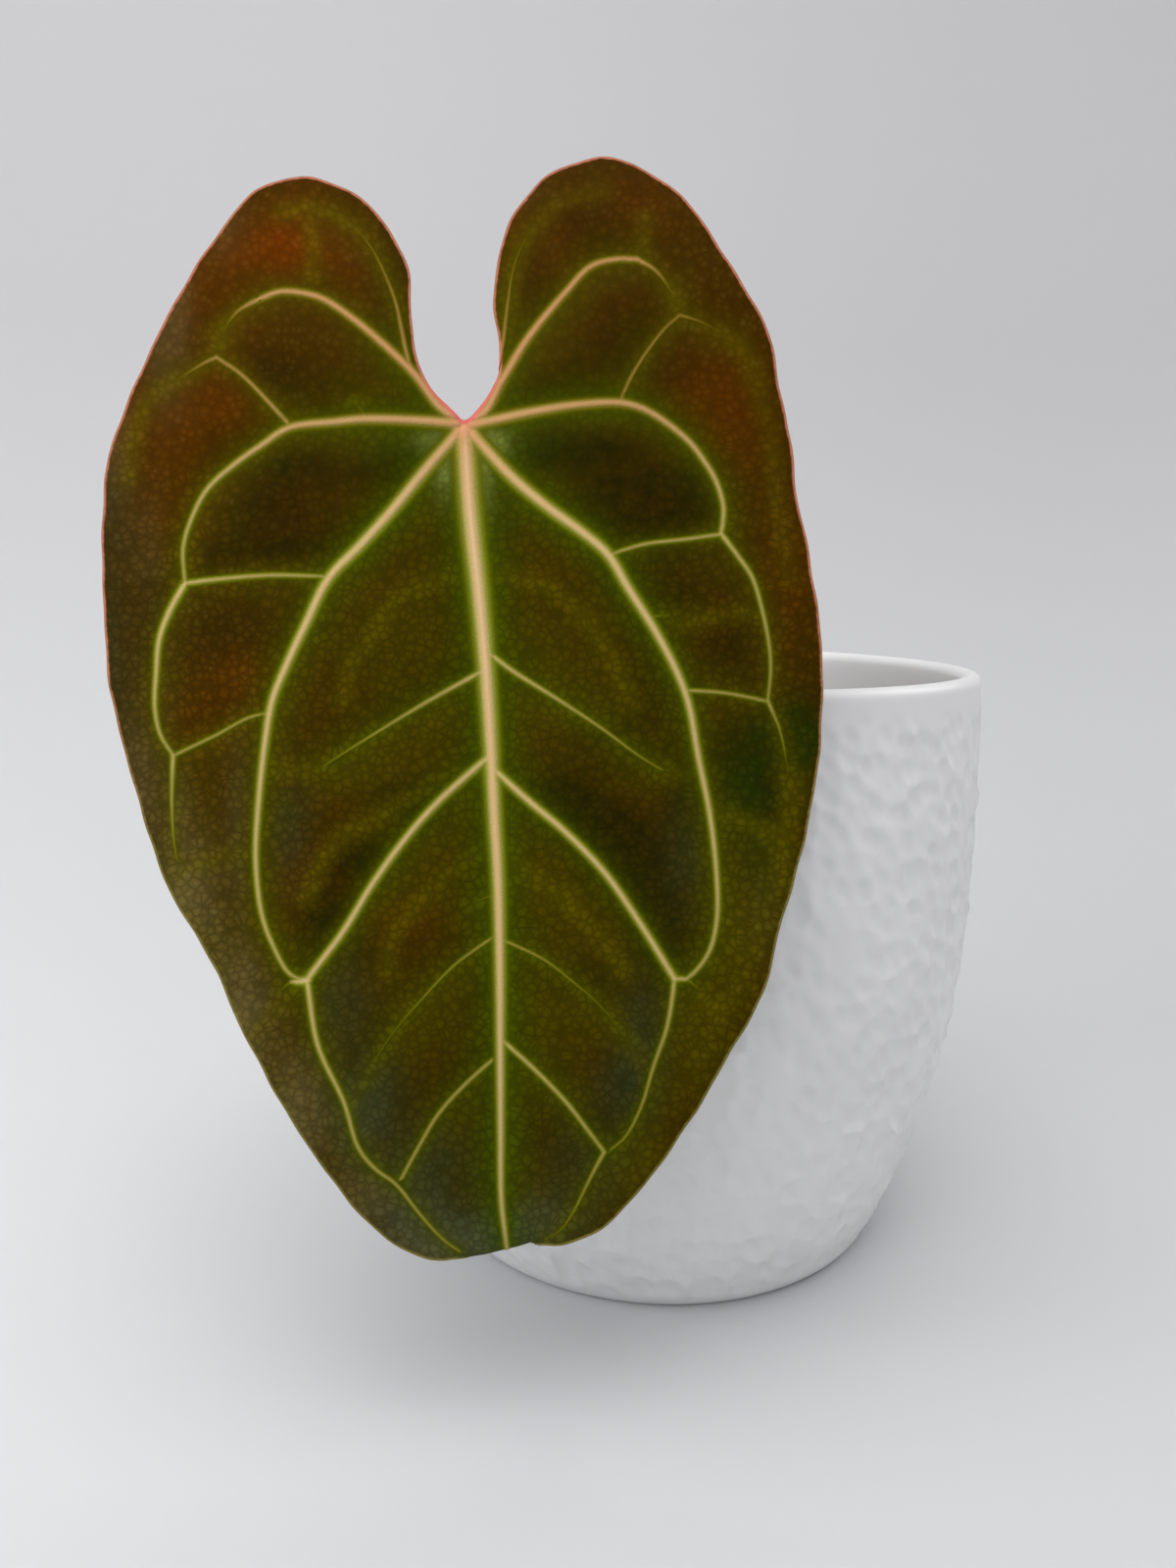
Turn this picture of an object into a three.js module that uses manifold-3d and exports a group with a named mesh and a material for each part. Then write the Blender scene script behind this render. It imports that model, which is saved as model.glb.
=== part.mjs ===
// Potted anthurium besseae: one velvety heart-shaped blade on an arching petiole, rooted in a chunky
// bark mix in a round white glazed pot with a hammered wall.
// Millimetres. +Z is up, +X is to the right and +Y points away from a viewer who faces the blade.
// The origin is the middle of the pot's flat underside.
import * as THREE from 'three';
import { mergeVertices } from 'three/addons/utils/BufferGeometryUtils.js';
import Module from 'manifold-3d';

const wasm = await Module();
wasm.setup();

// Driving dimensions

const GAP = 0.3; // between pieces that meet
const SEED = 20240;

// Pot: a cast and glazed shell. WALL_LINE gives [radius, height] up the outside.
const POT_HEIGHT = 131.6;
const POT_WALL = 5.2;
const POT_FLOOR = 7.5;
const POT_SEGMENTS = 52;
const FOOT_RADIUS = 49.4;
const FOOT_CORNER = [[51.7, 1.0], [53.1, 3.2]];
const WALL_LINE = [[53.1, 3.2], [58.4, 15.8], [65.3, 39.5], [69.5, 65.8], [70.6, 98.7], [70.0, 129.0]];
const WALL_ROWS = 17;
const HAMMER_DEPTH = 0.4; // the dimples move the outside in and out by this much
const HAMMER_BAND = [5, 124]; // heights between the smooth foot and the smooth lip
const WALL_SAMPLES = 200;
const OUTSIDE_CLEAR = 0.5; // a point this little inside the wall's curve still counts as outside
const LIP_ANGLES = [35, 90, 145, 180]; // degrees round the lip, from the outside over the top
const FLOOR_CORNER = 3; // how far the inner wall's foot is rounded
const INNER_ROWS = [POT_FLOOR + FLOOR_CORNER, 17, 30, 48, 70, 92]; // heights up the inner wall
const INNER_TOP_ROW = 112;

// Potting mix: bark chips, level 18 mm below the rim and slightly mounded round the stem.
const MIX_LEVEL = 112.5;
const MIX_MOUND = 2.5;
const MOUND_RADIUS = 45;
const MIX_RINGS = [57, 49, 41, 33, 25, 16, 8]; // radii of the rings of points on its top
const MIX_ROUGHNESS = 1.1;
const MIX_SMOOTH_EDGE = 2; // the roughness stops this far from the wall
const CHIP_COUNT = 28;
const CHIP_LENGTH = [7, 13];
const CHIP_WIDTH = { least: 0.5, more: 0.3 }; // shares of the length
const CHIP_THICKNESS = { least: 3.2, more: 1.8 };
const CHIP_TILT = 0.5; // radians, from one extreme to the other
const CHIP_WALL_CLEAR = 10;
const CHIP_START = 0.6; // the first chip's place in the row of rings
const CHIP_TURN = 0.4; // radians
const CHIP_LIFT = 0.6;

// Stem: a short upright rootstock with leaf scars. Aerial roots arch from it into the mix.
const STEM_PLACE = [2, 4];
const STEM_FOOT = 88;
const STEM_TOP = 125;
const STEM_RADIUS = 6.4;
const STEM_TAPER = 0.12;
const SCAR_PITCH = 6;
const SCAR_HEIGHT = 0.5;
const STEM_MESH = { sides: 12, steps: 14 };
const ROOT_RADIUS = [1.35, 1.0];
const ROOT_ANGLES = [20, 95, 168, 236, 305];
const ROOT_SWING = 0.05; // radians, sideways from each point of ROOT_LINE to the next
const ROOT_MESH = { sides: 6, steps: 9 };
// [distance from the stem's axis, height] along each root
const ROOT_LINE = [[3.5, 117.5], [9.5, 118.8], [14, 116.5], [17, 110.5], [18, 100]];

// Petiole: from the stem's top, over the rim, to the back of the blade, with a swollen joint at its end.
const PETIOLE_RADIUS = [3.3, 2.3, 2.1];
const PETIOLE_LINE = [[1.2, 2.2, 139], [-4.5, -8, 159], [-16, -30, 172], [-28, -52, 174.5]];
const PETIOLE_END = [0.2, -3.2]; // where it meets the blade, as [u, v]
const PETIOLE_PAST = 1; // it is drawn this far through the blade and cut off behind it
const PETIOLE_FOOT = 0.3; // the share of its length over which it narrows most
const PETIOLE_MESH = { sides: 10, steps: 34 };
const JOINT_LENGTH = 15;
const JOINT_SWELL = 0.85;
const JOINT_START = [1.25, 0.8]; // it swells between these shares of its length from the end
const STEM_TOP_CUT = 6 * STEM_RADIUS; // the side of the box that cuts the petiole level with the stem

// Papery sheaths that once wrapped the bud: [direction in degrees, half width in degrees, height].
const SHEATHS = [[55, 50, 27], [166, 46, 20]];
const SHEATH_BASE = 121.2;
const SHEATH_THICKNESS = 0.7;
const SHEATH_CLEAR = 0.1; // added to the gap to the stem
const SHEATH_DRAW_IN = { depth: 1.3, from: 0.2, to: 0.7 }; // closer to the petiole between two heights
const SHEATH_FLARE = 2; // and out again at the top
const SHEATH_POINT = { share: 0.93, power: 1.6 };
const SHEATH_MESH = { rows: 9, columns: 5 };

// Blade. Its points are [u, v] in its own plane, as it faces the viewer: u to the right and v up from the
// bottom of the notch, where the petiole joins. JOIN is that point in the pot's frame.
const JOIN = [-34.7, -76.2, 176.1];
const TURN = 3.8; // degrees, to the viewer's left
const LEAN = 80.0; // degrees up from lying flat
const ROLL = 0.7; // degrees, counterclockwise
// The outline is true as seen from here, in the blade's own axes, so relief moves a point along that line.
const SIGHT = [20.6, -59.8, 195];
const BLADE_THICKNESS = 0.8;

// The outline, clockwise from the notch. The narrow tip is drawn unrolled.
const OUTLINE = [
  [0, 0.3], [3.2, 3.2], [4.7, 5.5], [6, 8.3], [6, 12], [5, 19.2], [5.7, 26.5], [8, 34], [12, 39.3],
  [15.6, 41.9], [19, 43.4], [23.4, 44.2], [26.8, 43.5], [33, 40.3], [39, 34.4], [43.4, 27.6],
  [49.1, 17.9], [51.2, 13], [52.2, 5.7], [54.3, -3.4], [55.2, -12.7], [56.7, -19.2], [58.8, -32.2],
  [59.5, -44.4], [58.8, -55.7], [56.9, -67.4], [54.3, -78], [50.9, -91.5], [46, -101.4], [39, -113.3],
  [33, -122.4], [25.2, -131.6], [21.3, -134.7], [16.4, -136.3], [12.8, -136.3], [11.7, -136.7],
  [11.2, -138.4], [10.9, -141.9], [10.2, -146.7], [9.1, -152.4], [8.3, -156], [6.8, -152.1],
  [4.9, -147.2], [2.9, -143], [1.1, -139.9], [-0.5, -138.8], [-3.7, -138.9], [-6.5, -138.5],
  [-11.9, -136], [-19.5, -128.5], [-27.8, -116.8], [-36.1, -102], [-41.4, -90.2], [-49.6, -75.7],
  [-53.8, -62.7], [-58.3, -45.7], [-59.5, -34], [-59.8, -14.3], [-59.1, -7], [-55.6, 3.7], [-50.5, 14.8],
  [-45, 25], [-39.5, 32.8], [-37, 36.1], [-34.8, 38.5], [-30.7, 40.6], [-24.5, 40.6], [-17.4, 37.5],
  [-13, 32.8], [-9.4, 25.8], [-8.6, 16.7], [-7.6, 9.7], [-4.9, 5], [-1, 1.1],
];

// The vein network: [width at the start, width at the end, centre line].
const VEINS = {
  midrib: [2.3, 1.0, [[0, 0], [3.1, -31.7], [5.6, -73.6], [6.2, -122.8], [8.1, -149.2]]],
  left_lobe: [1.5, 0.5, [
    [-0.5, 0.3], [-2.9, 1.9], [-6.3, 5.2], [-8.8, 8.8], [-12.7, 12.8], [-20.5, 19.5], [-24, 21.6],
    [-29.2, 22.3], [-32.3, 21.9], [-35.5, 20.1], [-38.3, 18]]],
  left_lobe_inner: [0.6, 0.3, [
    [-8.4, 7.8], [-9.9, 12.8], [-10.7, 18.4], [-15, 27.8], [-17.1, 31.4], [-20.5, 33.8], [-24.5, 34.8]]],
  left_shoulder: [1.4, 0.9, [
    [0, -0.3], [-2.1, 0.2], [-16.6, 0.8], [-29.2, -0.4], [-34, -3.4], [-41.8, -9.6], [-44.5, -13.6],
    [-46.5, -19.2], [-47.1, -22.6], [-46.5, -26.5]]],
  left_shoulder_lower: [0.9, 0.6, [
    [-46.5, -26.5], [-50.5, -35.6], [-51.5, -45.2], [-51, -49.6], [-49.6, -53.5], [-48.4, -55.1]]],
  left_shoulder_end: [0.6, 0.2, [[-48.4, -55.1], [-48.6, -64.3], [-48.3, -69.5], [-47.6, -73.1]]],
  left_fork: [0.7, 0.6, [[-29.2, 0], [-31.5, 2.9], [-34.8, 6.1], [-40.8, 11]]],
  left_fork_end: [0.6, 0.2, [[-40.8, 11], [-43.4, 10.1], [-48.1, 6.5]]],
  left_fork_link: [0.5, 0.2, [[-40.8, 11], [-40.6, 14], [-39.5, 17.1], [-36.2, 19.8]]],
  left_main: [1.6, 1.1, [
    [0, -0.6], [-13.3, -15.9], [-22.9, -25.2], [-29.1, -38.3], [-31.7, -44.8], [-32.7, -49.1],
    [-33, -55.7], [-34.3, -62.2], [-34.7, -68.7], [-34.4, -74.4], [-33.5, -81.6], [-31.7, -86.3],
    [-29.1, -90.7], [-25.8, -93.3]]],
  left_main_lower: [0.9, 0.4, [
    [-25.8, -93.3], [-23.9, -104.2], [-19.1, -115.9], [-16.4, -120.7], [-13.8, -123.7], [-11.2, -125.7],
    [-3.9, -135], [-0.8, -137.6]]],
  left_rung_upper: [0.8, 0.7, [[-22.9, -25.3], [-35.1, -25.3], [-46.5, -26.6]]],
  left_rung_lower: [0.7, 0.6, [[-32.7, -47.9], [-36.1, -48.9], [-40.3, -51.3], [-48.4, -55.1]]],
  left_side_1: [0.6, 0.3, [
    [3.2, -40.9], [-5.2, -45.7], [-11.6, -50], [-16.9, -52.5], [-21.6, -55.7], [-26.8, -57]]],
  left_side_2: [1.0, 0.8, [
    [3.7, -55.2], [-5.4, -64], [-12.5, -72.2], [-16.9, -78], [-19.5, -82.9], [-25.7, -92.3]]],
  left_side_3: [0.5, 0.2, [
    [4.9, -85.5], [1.3, -87.6], [-2.9, -91.1], [-7.3, -95.4], [-11.7, -100.6], [-17.7, -109.8]]],
  left_side_4: [0.7, 0.6, [[5, -105.6], [2.3, -107.6], [-1.6, -111.5], [-5.2, -115.9], [-10.9, -125.6]]],
  right_lobe: [1.5, 0.6, [
    [0.5, 0], [3.4, 1.8], [6, 7.5], [10.2, 14.3], [16.4, 21.8], [20.8, 26.3], [25.1, 27.5], [28.6, 27.5],
    [33.3, 23.7]]],
  right_lobe_end: [0.5, 0.2, [[33.3, 23.7], [35.1, 20.5], [35.7, 17.9]]],
  right_lobe_inner: [0.6, 0.2, [[6.3, 9.7], [7.3, 20.5], [8.1, 24.4], [9.4, 28.3], [12, 33.1]]],
  right_shoulder: [1.4, 0.9, [
    [0.3, -0.5], [12, 2.6], [19, 3.7], [26, 3.9], [29.4, 2.6], [33.8, 0.2], [37.7, -3.1], [40.3, -7],
    [42.2, -10.6], [43.4, -13.9], [43.2, -16.6], [42.7, -18]]],
  right_shoulder_lower: [0.9, 0.5, [
    [42.7, -18], [47.8, -24.8], [49.1, -28.3], [49.9, -33], [51.2, -37.4], [51.5, -40], [50.5, -45.8]]],
  right_shoulder_end: [0.6, 0.2, [
    [50.5, -45.8], [52.2, -49.6], [53.5, -54.4], [53.9, -59.1], [53.6, -64.3], [52.3, -69.2]]],
  right_fork: [0.7, 0.6, [[26, 4.5], [27.8, 8.3], [30.4, 12.2], [33.3, 15.9], [35.7, 17.9]]],
  right_fork_end: [0.6, 0.2, [[35.7, 17.9], [39.5, 16.6], [43.9, 14], [46.8, 10.4]]],
  right_main: [1.6, 1.1, [
    [0.6, -1], [7.8, -8.4], [12.7, -12.8], [23.9, -21.3], [30.7, -32.2], [36.4, -43.5], [40.3, -62.2],
    [41.6, -70.8], [42.6, -81.6], [41.9, -85.5], [40.8, -88.1], [38.5, -90.7], [36.1, -92.5]]],
  right_main_lower: [0.8, 0.4, [
    [35.6, -92.3], [35.1, -93.3], [33.1, -102.4], [30.7, -110.7], [27.3, -118.1], [23.9, -121.1]]],
  right_rung_upper: [0.8, 0.7, [[24.7, -21.3], [27.8, -20.1], [36.4, -19.2], [40.3, -18.2], [42.7, -18]]],
  right_rung_lower: [0.8, 0.7, [[37.5, -44], [42.6, -44.4], [50.5, -45.8]]],
  right_rung_faint: [0.5, 0.2, [[41.6, -64.7], [44.7, -65.5], [48.2, -66.9]]],
  right_side_1: [0.6, 0.3, [[4.9, -38.9], [18.2, -47.4], [26.8, -53.5], [34.4, -58]]],
  right_side_2: [1.1, 1.0, [[6.2, -58.5], [15.6, -66.1], [23.4, -73.5], [35.4, -92.3]]],
  right_side_3: [0.5, 0.2, [[7.3, -86.1], [15.1, -90.4], [19, -93.3], [22.4, -96.4], [27.8, -103.2]]],
  right_side_4: [0.7, 0.6, [[7, -102.6], [13.8, -108.9], [23.4, -120.9]]],
  right_side_4_lower: [0.6, 0.3, [[23.4, -120.9], [18.5, -130.6], [16.4, -133.7], [13.3, -135.5]]],
};

// Blade shape
const KEEL = 1.8; // the midrib lies this much deeper than the halves beside it
const KEEL_WIDTH = 10;
const HALF_WIDTH = 58;
const MIDRIB_BOW = 6.2; // the midrib bows this far to the right, over MIDRIB_BOW_REACH
const MIDRIB_BOW_REACH = 45;
const SIDE_FALL = 4.5; // how far the sides fall back
const SIDE_FALL_POWER = 2.2;
const LOBE_FALL = 7; // and the two lobes, over LOBE_REACH
const LOBE_REACH = 44;
const END_FALL = 5; // and the lower end, over END_REACH from END_START
const END_START = -90;
const END_REACH = 45;
const WAVE = 1.1; // the margin's waves
const WAVE_PITCH = 9;
const PUFF = 0.9; // the panels between the veins stand forward by this much
const PUFF_REACH = 4.5;
const SLOPE_REACH = 0.2; // slopes are taken between points this far to each side

// The tip rolls back under the blade round a line across it, and ends straight.
const ROLL_LINE = { u: 0.3, v: -134.9, slope: 0.24 };
const ROLL_RADIUS = 3.2;
const ROLL_ANGLE = 2.7;
const ROLL_SIDES = [[-1.8, 1.1], [11.0, 12.6]]; // the roll fades out between each pair of u

// Ribs: raised a little in front and more behind, and wider than the pale line that they carry.
const RIB_STEP = 3.6;
const RIB_FRONT = { least: 0.3, share: 0.3 };
const RIB_BACK = { least: 0.3, share: 0.4 };
const RIB_BASE = { least: 0.45, share: 0.5 };
const MARGIN_SAMPLES = 1600;
const MARGIN_STEP = 3.2;
const TIP_STEP = 1.2;
const TIP_START = -134;
const TIP_ROWS_DEPTH = 20;
const FILL_STEP = 6.5;
const FILL_ROWS = [-32, 10];
const FILL_COLUMNS = [-11, 12];
const FILL_CLEAR = 2.5;
const POINT_CLEAR = 0.85;
const MARGIN_CLEAR = 0.7;
const FAR_CORNERS = [[-3000, -2000], [3000, -2000], [0, 3000]]; // of a triangle round the whole blade
const NUDGE = 1e-4; // keeps points from lying on one circle

const LOOKS = {
  pot: { color: 0xe9e9ec, roughness: 0.35 },
  mix: { color: 0x4b3526, roughness: 0.95 },
  stem: { color: 0x6f6a48, roughness: 0.8 },
  sheath: { color: 0x8c6c46, roughness: 0.9 },
  petiole: { color: 0x6d7d3a, roughness: 0.55 },
  blade: { color: 0x3f3310, roughness: 0.75 },
};
const WELD = 1e-4; // corners closer than this are one corner

// Helpers

/** Repeatable random numbers from 0 to 1. */
function randomFrom(seed) {
  let state = seed;
  return () => {
    state = (state * 1664525 + 1013904223) % 4294967296;
    return state / 4294967296;
  };
}

/** The same geometry with shared corners, and nothing but positions. */
function welded(geometry) {
  geometry.deleteAttribute('normal');
  geometry.deleteAttribute('uv');
  return mergeVertices(geometry, WELD);
}

/** A solid that can be joined or cut. */
function solid(geometry) {
  const mesh = welded(geometry);
  const vertProperties = new Float32Array(mesh.attributes.position.array);
  const triVerts = new Uint32Array(mesh.index.array);
  return new wasm.Manifold(new wasm.Mesh({ numProp: 3, vertProperties, triVerts }));
}

/** A joined or cut solid's surface. */
function surfaceOf(body) {
  const mesh = body.getMesh();
  const geometry = new THREE.BufferGeometry();
  geometry.setAttribute('position', new THREE.BufferAttribute(new Float32Array(mesh.vertProperties), 3));
  geometry.setIndex(Array.from(mesh.triVerts));
  return geometry;
}

/** A geometry from a list of vectors and a list of corner numbers. */
function surface(points, corners) {
  const geometry = new THREE.BufferGeometry().setFromPoints(points);
  geometry.setIndex(corners);
  return geometry;
}

function smoothStep(from, to, x) {
  return THREE.MathUtils.smoothstep(x, from, to);
}

function mesh(name, geometry, look) {
  const shown = geometry.clone();
  shown.computeVertexNormals();
  const material = new THREE.MeshStandardMaterial({ ...look, metalness: 0, flatShading: true });
  const part = new THREE.Mesh(shown, material);
  part.name = name;
  return part;
}

/** A round limb along a smooth line: rings of radiusAt(share of its length), closed at both ends. */
function limb(line, radiusAt, { sides, steps }) {
  const curve = new THREE.CatmullRomCurve3(line, false, 'centripetal');
  const frames = curve.computeFrenetFrames(steps, false);
  const points = [];
  const corners = [];
  for (let step = 0; step <= steps; step += 1) {
    const share = step / steps;
    const centre = curve.getPointAt(share);
    for (let side = 0; side < sides; side += 1) {
      const angle = (2 * Math.PI * side) / sides;
      const offset = frames.normals[step].clone().multiplyScalar(Math.cos(angle));
      offset.addScaledVector(frames.binormals[step], Math.sin(angle));
      points.push(centre.clone().addScaledVector(offset, radiusAt(share)));
    }
  }
  for (let step = 0; step < steps; step += 1) {
    for (let side = 0; side < sides; side += 1) {
      const a = step * sides + side;
      const b = step * sides + ((side + 1) % sides);
      corners.push(a, b, a + sides, b, b + sides, a + sides);
    }
  }
  const last = steps * sides;
  for (let side = 1; side < sides - 1; side += 1) {
    corners.push(0, side + 1, side);
    corners.push(last, last + side, last + side + 1);
  }
  return surface(points, corners);
}

/** A sheet with two faces and a rim, from one set of triangles that is alike on both faces. */
function thickSheet(front, back, triangles) {
  const count = front.length;
  const corners = [];
  const open = new Map();
  for (const [a, b, c] of triangles) {
    corners.push(a, b, c, a + count, c + count, b + count);
    for (const [from, to] of [[a, b], [b, c], [c, a]]) {
      if (!open.delete(`${to},${from}`)) open.set(`${from},${to}`, [from, to]);
    }
  }
  for (const [a, b] of open.values()) {
    corners.push(b, a, a + count, b, a + count, b + count);
  }
  return surface([...front, ...back], corners);
}

// Pot

/** The pot's outside from the foot's corner to just under the lip, as [radius, height]. */
const wallCurve = new THREE.SplineCurve(WALL_LINE.map(([r, z]) => new THREE.Vector2(r, z)));

/** The outer radius at a height, from the wall's curve. */
function wallRadius(height) {
  const samples = wallCurve.getPoints(WALL_SAMPLES);
  const above = samples.findIndex((point) => point.y >= height);
  return samples[Math.max(above, 0)].x;
}

function potGeometry() {
  const wall = wallCurve.getSpacedPoints(WALL_ROWS);
  const profile = [new THREE.Vector2(0, 0), new THREE.Vector2(FOOT_RADIUS, 0)];
  profile.push(new THREE.Vector2(...FOOT_CORNER[0]), ...wall);
  const lipRadius = POT_WALL / 2;
  const lipMiddle = new THREE.Vector2(wall[WALL_ROWS].x - lipRadius, POT_HEIGHT - lipRadius);
  for (const angle of LIP_ANGLES) {
    const turn = THREE.MathUtils.degToRad(angle);
    const out = new THREE.Vector2(Math.cos(turn), Math.sin(turn)).multiplyScalar(lipRadius);
    profile.push(lipMiddle.clone().add(out));
  }
  for (const height of [...INNER_ROWS, INNER_TOP_ROW].reverse()) {
    profile.push(new THREE.Vector2(wallRadius(height) - POT_WALL, height));
  }
  profile.push(new THREE.Vector2(wallRadius(POT_FLOOR) - POT_WALL - FLOOR_CORNER, POT_FLOOR));
  profile.push(new THREE.Vector2(0, POT_FLOOR));
  const geometry = welded(new THREE.LatheGeometry(profile, POT_SEGMENTS));
  geometry.rotateX(Math.PI / 2);
  const random = randomFrom(SEED);
  const position = geometry.attributes.position;
  for (let index = 0; index < position.count; index += 1) {
    const [x, y, z] = [position.getX(index), position.getY(index), position.getZ(index)];
    const radius = Math.hypot(x, y);
    const outside = radius > wallRadius(z) - OUTSIDE_CLEAR;
    if (outside && z > HAMMER_BAND[0] && z < HAMMER_BAND[1]) {
      const scale = 1 + (HAMMER_DEPTH * (2 * random() - 1)) / radius;
      position.setXY(index, x * scale, y * scale);
    }
  }
  return geometry;
}

// Potting mix

/** The mix's height at a distance from the middle, before the chips. */
function mixHeight(radius) {
  return MIX_LEVEL + MIX_MOUND * (1 - smoothStep(0, MOUND_RADIUS, radius));
}

function mixGeometry(holes) {
  const random = randomFrom(SEED + 1);
  const inner = (height) => wallRadius(height) - POT_WALL - GAP;
  const bottom = POT_FLOOR + GAP;
  const profile = [new THREE.Vector2(0, bottom), new THREE.Vector2(inner(POT_FLOOR) - FLOOR_CORNER, bottom)];
  for (const height of INNER_ROWS) {
    profile.push(new THREE.Vector2(inner(height), height + GAP));
  }
  const topRadius = inner(MIX_LEVEL);
  profile.push(new THREE.Vector2(topRadius, MIX_LEVEL));
  for (const radius of MIX_RINGS) {
    profile.push(new THREE.Vector2(radius, mixHeight(radius)));
  }
  profile.push(new THREE.Vector2(0, mixHeight(0)));
  const ground = welded(new THREE.LatheGeometry(profile, POT_SEGMENTS));
  ground.rotateX(Math.PI / 2);
  const position = ground.attributes.position;
  for (let index = 0; index < position.count; index += 1) {
    const radius = Math.hypot(position.getX(index), position.getY(index));
    if (position.getZ(index) > MIX_LEVEL - GAP && radius < topRadius - MIX_SMOOTH_EDGE) {
      position.setZ(index, position.getZ(index) + MIX_ROUGHNESS * (2 * random() - 1));
    }
  }
  let body = solid(ground);
  const goldenAngle = Math.PI * (3 - Math.sqrt(5));
  for (let chip = 0; chip < CHIP_COUNT; chip += 1) {
    const length = THREE.MathUtils.lerp(...CHIP_LENGTH, random());
    const radius = (topRadius - CHIP_WALL_CLEAR) * Math.sqrt((chip + CHIP_START) / CHIP_COUNT);
    const angle = chip * goldenAngle + CHIP_TURN * random();
    const width = length * (CHIP_WIDTH.least + CHIP_WIDTH.more * random());
    const thickness = CHIP_THICKNESS.least + CHIP_THICKNESS.more * random();
    const box = new THREE.BoxGeometry(length, width, thickness);
    box.rotateY(CHIP_TILT * (random() - 0.5));
    box.rotateX(CHIP_TILT * (random() - 0.5));
    box.rotateZ(2 * Math.PI * random());
    const height = mixHeight(radius) + CHIP_LIFT * random();
    box.translate(radius * Math.cos(angle), radius * Math.sin(angle), height);
    body = body.add(solid(box));
  }
  for (const hole of holes) body = body.subtract(solid(hole));
  return surfaceOf(body);
}

// Stem, roots and sheaths

function stemLimb(extra) {
  const [x, y] = STEM_PLACE;
  const foot = STEM_FOOT - extra;
  const line = [foot, (foot + STEM_TOP) / 2, STEM_TOP].map((z) => new THREE.Vector3(x, y, z));
  const scars = (STEM_TOP - STEM_FOOT) / SCAR_PITCH;
  const radiusAt = (share) => {
    const taper = STEM_RADIUS * (1 - STEM_TAPER * share);
    return taper + SCAR_HEIGHT * Math.cos(2 * Math.PI * scars * share) ** 2 + extra;
  };
  return limb(line, radiusAt, STEM_MESH);
}

/** A root from the stem into the mix. */
function rootLimb(angle, extra) {
  const turn = THREE.MathUtils.degToRad(angle);
  const line = ROOT_LINE.map(([out, z], place) => new THREE.Vector3(
    STEM_PLACE[0] + out * Math.cos(turn + ROOT_SWING * place),
    STEM_PLACE[1] + out * Math.sin(turn + ROOT_SWING * place),
    place === ROOT_LINE.length - 1 ? z - extra : z,
  ));
  return limb(line, (share) => THREE.MathUtils.lerp(...ROOT_RADIUS, share) + extra, ROOT_MESH);
}

function stemGeometry() {
  let body = solid(stemLimb(0));
  for (const angle of ROOT_ANGLES) body = body.add(solid(rootLimb(angle, 0)));
  return surfaceOf(body);
}

/** A papery sheath: a patch of a narrowing tube round the stem, drawn in to a point at its top. */
function sheathGeometry([direction, halfWidth, height]) {
  const { rows, columns } = SHEATH_MESH;
  const { depth, from, to } = SHEATH_DRAW_IN;
  const stemReach = STEM_RADIUS * (1 - STEM_TAPER) + SCAR_HEIGHT;
  const front = [];
  const back = [];
  const triangles = [];
  for (let row = 0; row <= rows; row += 1) {
    const rise = row / rows;
    const drawnIn = depth * smoothStep(from, to, rise);
    const radius = stemReach + GAP + SHEATH_CLEAR - drawnIn + SHEATH_FLARE * rise ** 3;
    const spread = THREE.MathUtils.degToRad(halfWidth)
      * (1 - SHEATH_POINT.share * rise ** SHEATH_POINT.power);
    for (let column = 0; column <= columns; column += 1) {
      const side = (2 * column) / columns - 1;
      const angle = THREE.MathUtils.degToRad(direction) + side * spread;
      const z = SHEATH_BASE + height * rise;
      for (const [list, extra] of [[front, SHEATH_THICKNESS], [back, 0]]) {
        const reach = radius + extra;
        list.push(new THREE.Vector3(
          STEM_PLACE[0] + reach * Math.cos(angle),
          STEM_PLACE[1] + reach * Math.sin(angle),
          z,
        ));
      }
      if (row < rows && column < columns) {
        const a = row * (columns + 1) + column;
        const c = a + columns + 1;
        triangles.push([a, a + 1, c], [a + 1, c + 1, c]);
      }
    }
  }
  return thickSheet(front, back, triangles);
}

// Blade

/** The margin as a closed smooth line, sampled finely enough to pick from. */
const marginCurve = new THREE.CatmullRomCurve3(
  OUTLINE.map(([u, v]) => new THREE.Vector3(u, v, 0)), true, 'centripetal',
);

/** Points along the margin, close together round the rolled tip. */
function marginPoints() {
  const fine = marginCurve.getSpacedPoints(MARGIN_SAMPLES);
  const kept = [fine[0]];
  for (const point of fine.slice(1, -1)) {
    const step = point.y < TIP_START ? TIP_STEP : MARGIN_STEP;
    const clear = point.distanceTo(kept[0]) > step / 2;
    if (point.distanceTo(kept[kept.length - 1]) >= step && clear) kept.push(point);
  }
  return kept.map((point) => [point.x, point.y]);
}

/** Every vein as short straight pieces with a width at each end. */
const RIBS = Object.values(VEINS).map(([startWidth, endWidth, line]) => {
  const curve = new THREE.CatmullRomCurve3(
    line.map(([u, v]) => new THREE.Vector3(u, v, 0)), false, 'centripetal',
  );
  const steps = Math.max(2, Math.round(curve.getLength() / RIB_STEP));
  return curve.getSpacedPoints(steps).map((point, step) => ({
    u: point.x,
    v: point.y,
    width: THREE.MathUtils.lerp(startWidth, endWidth, step / steps),
  }));
});

/** The distance from a point to a straight piece, and how far along the piece the nearest place is. */
function distanceTo(u, v, a, b) {
  const [du, dv] = [b.u - a.u, b.v - a.v];
  const along = ((u - a.u) * du + (v - a.v) * dv) / (du * du + dv * dv);
  const share = Math.min(Math.max(along, 0), 1);
  return [Math.hypot(u - a.u - share * du, v - a.v - share * dv), share];
}

function ribBase(width) {
  return RIB_BASE.least + RIB_BASE.share * width;
}

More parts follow.
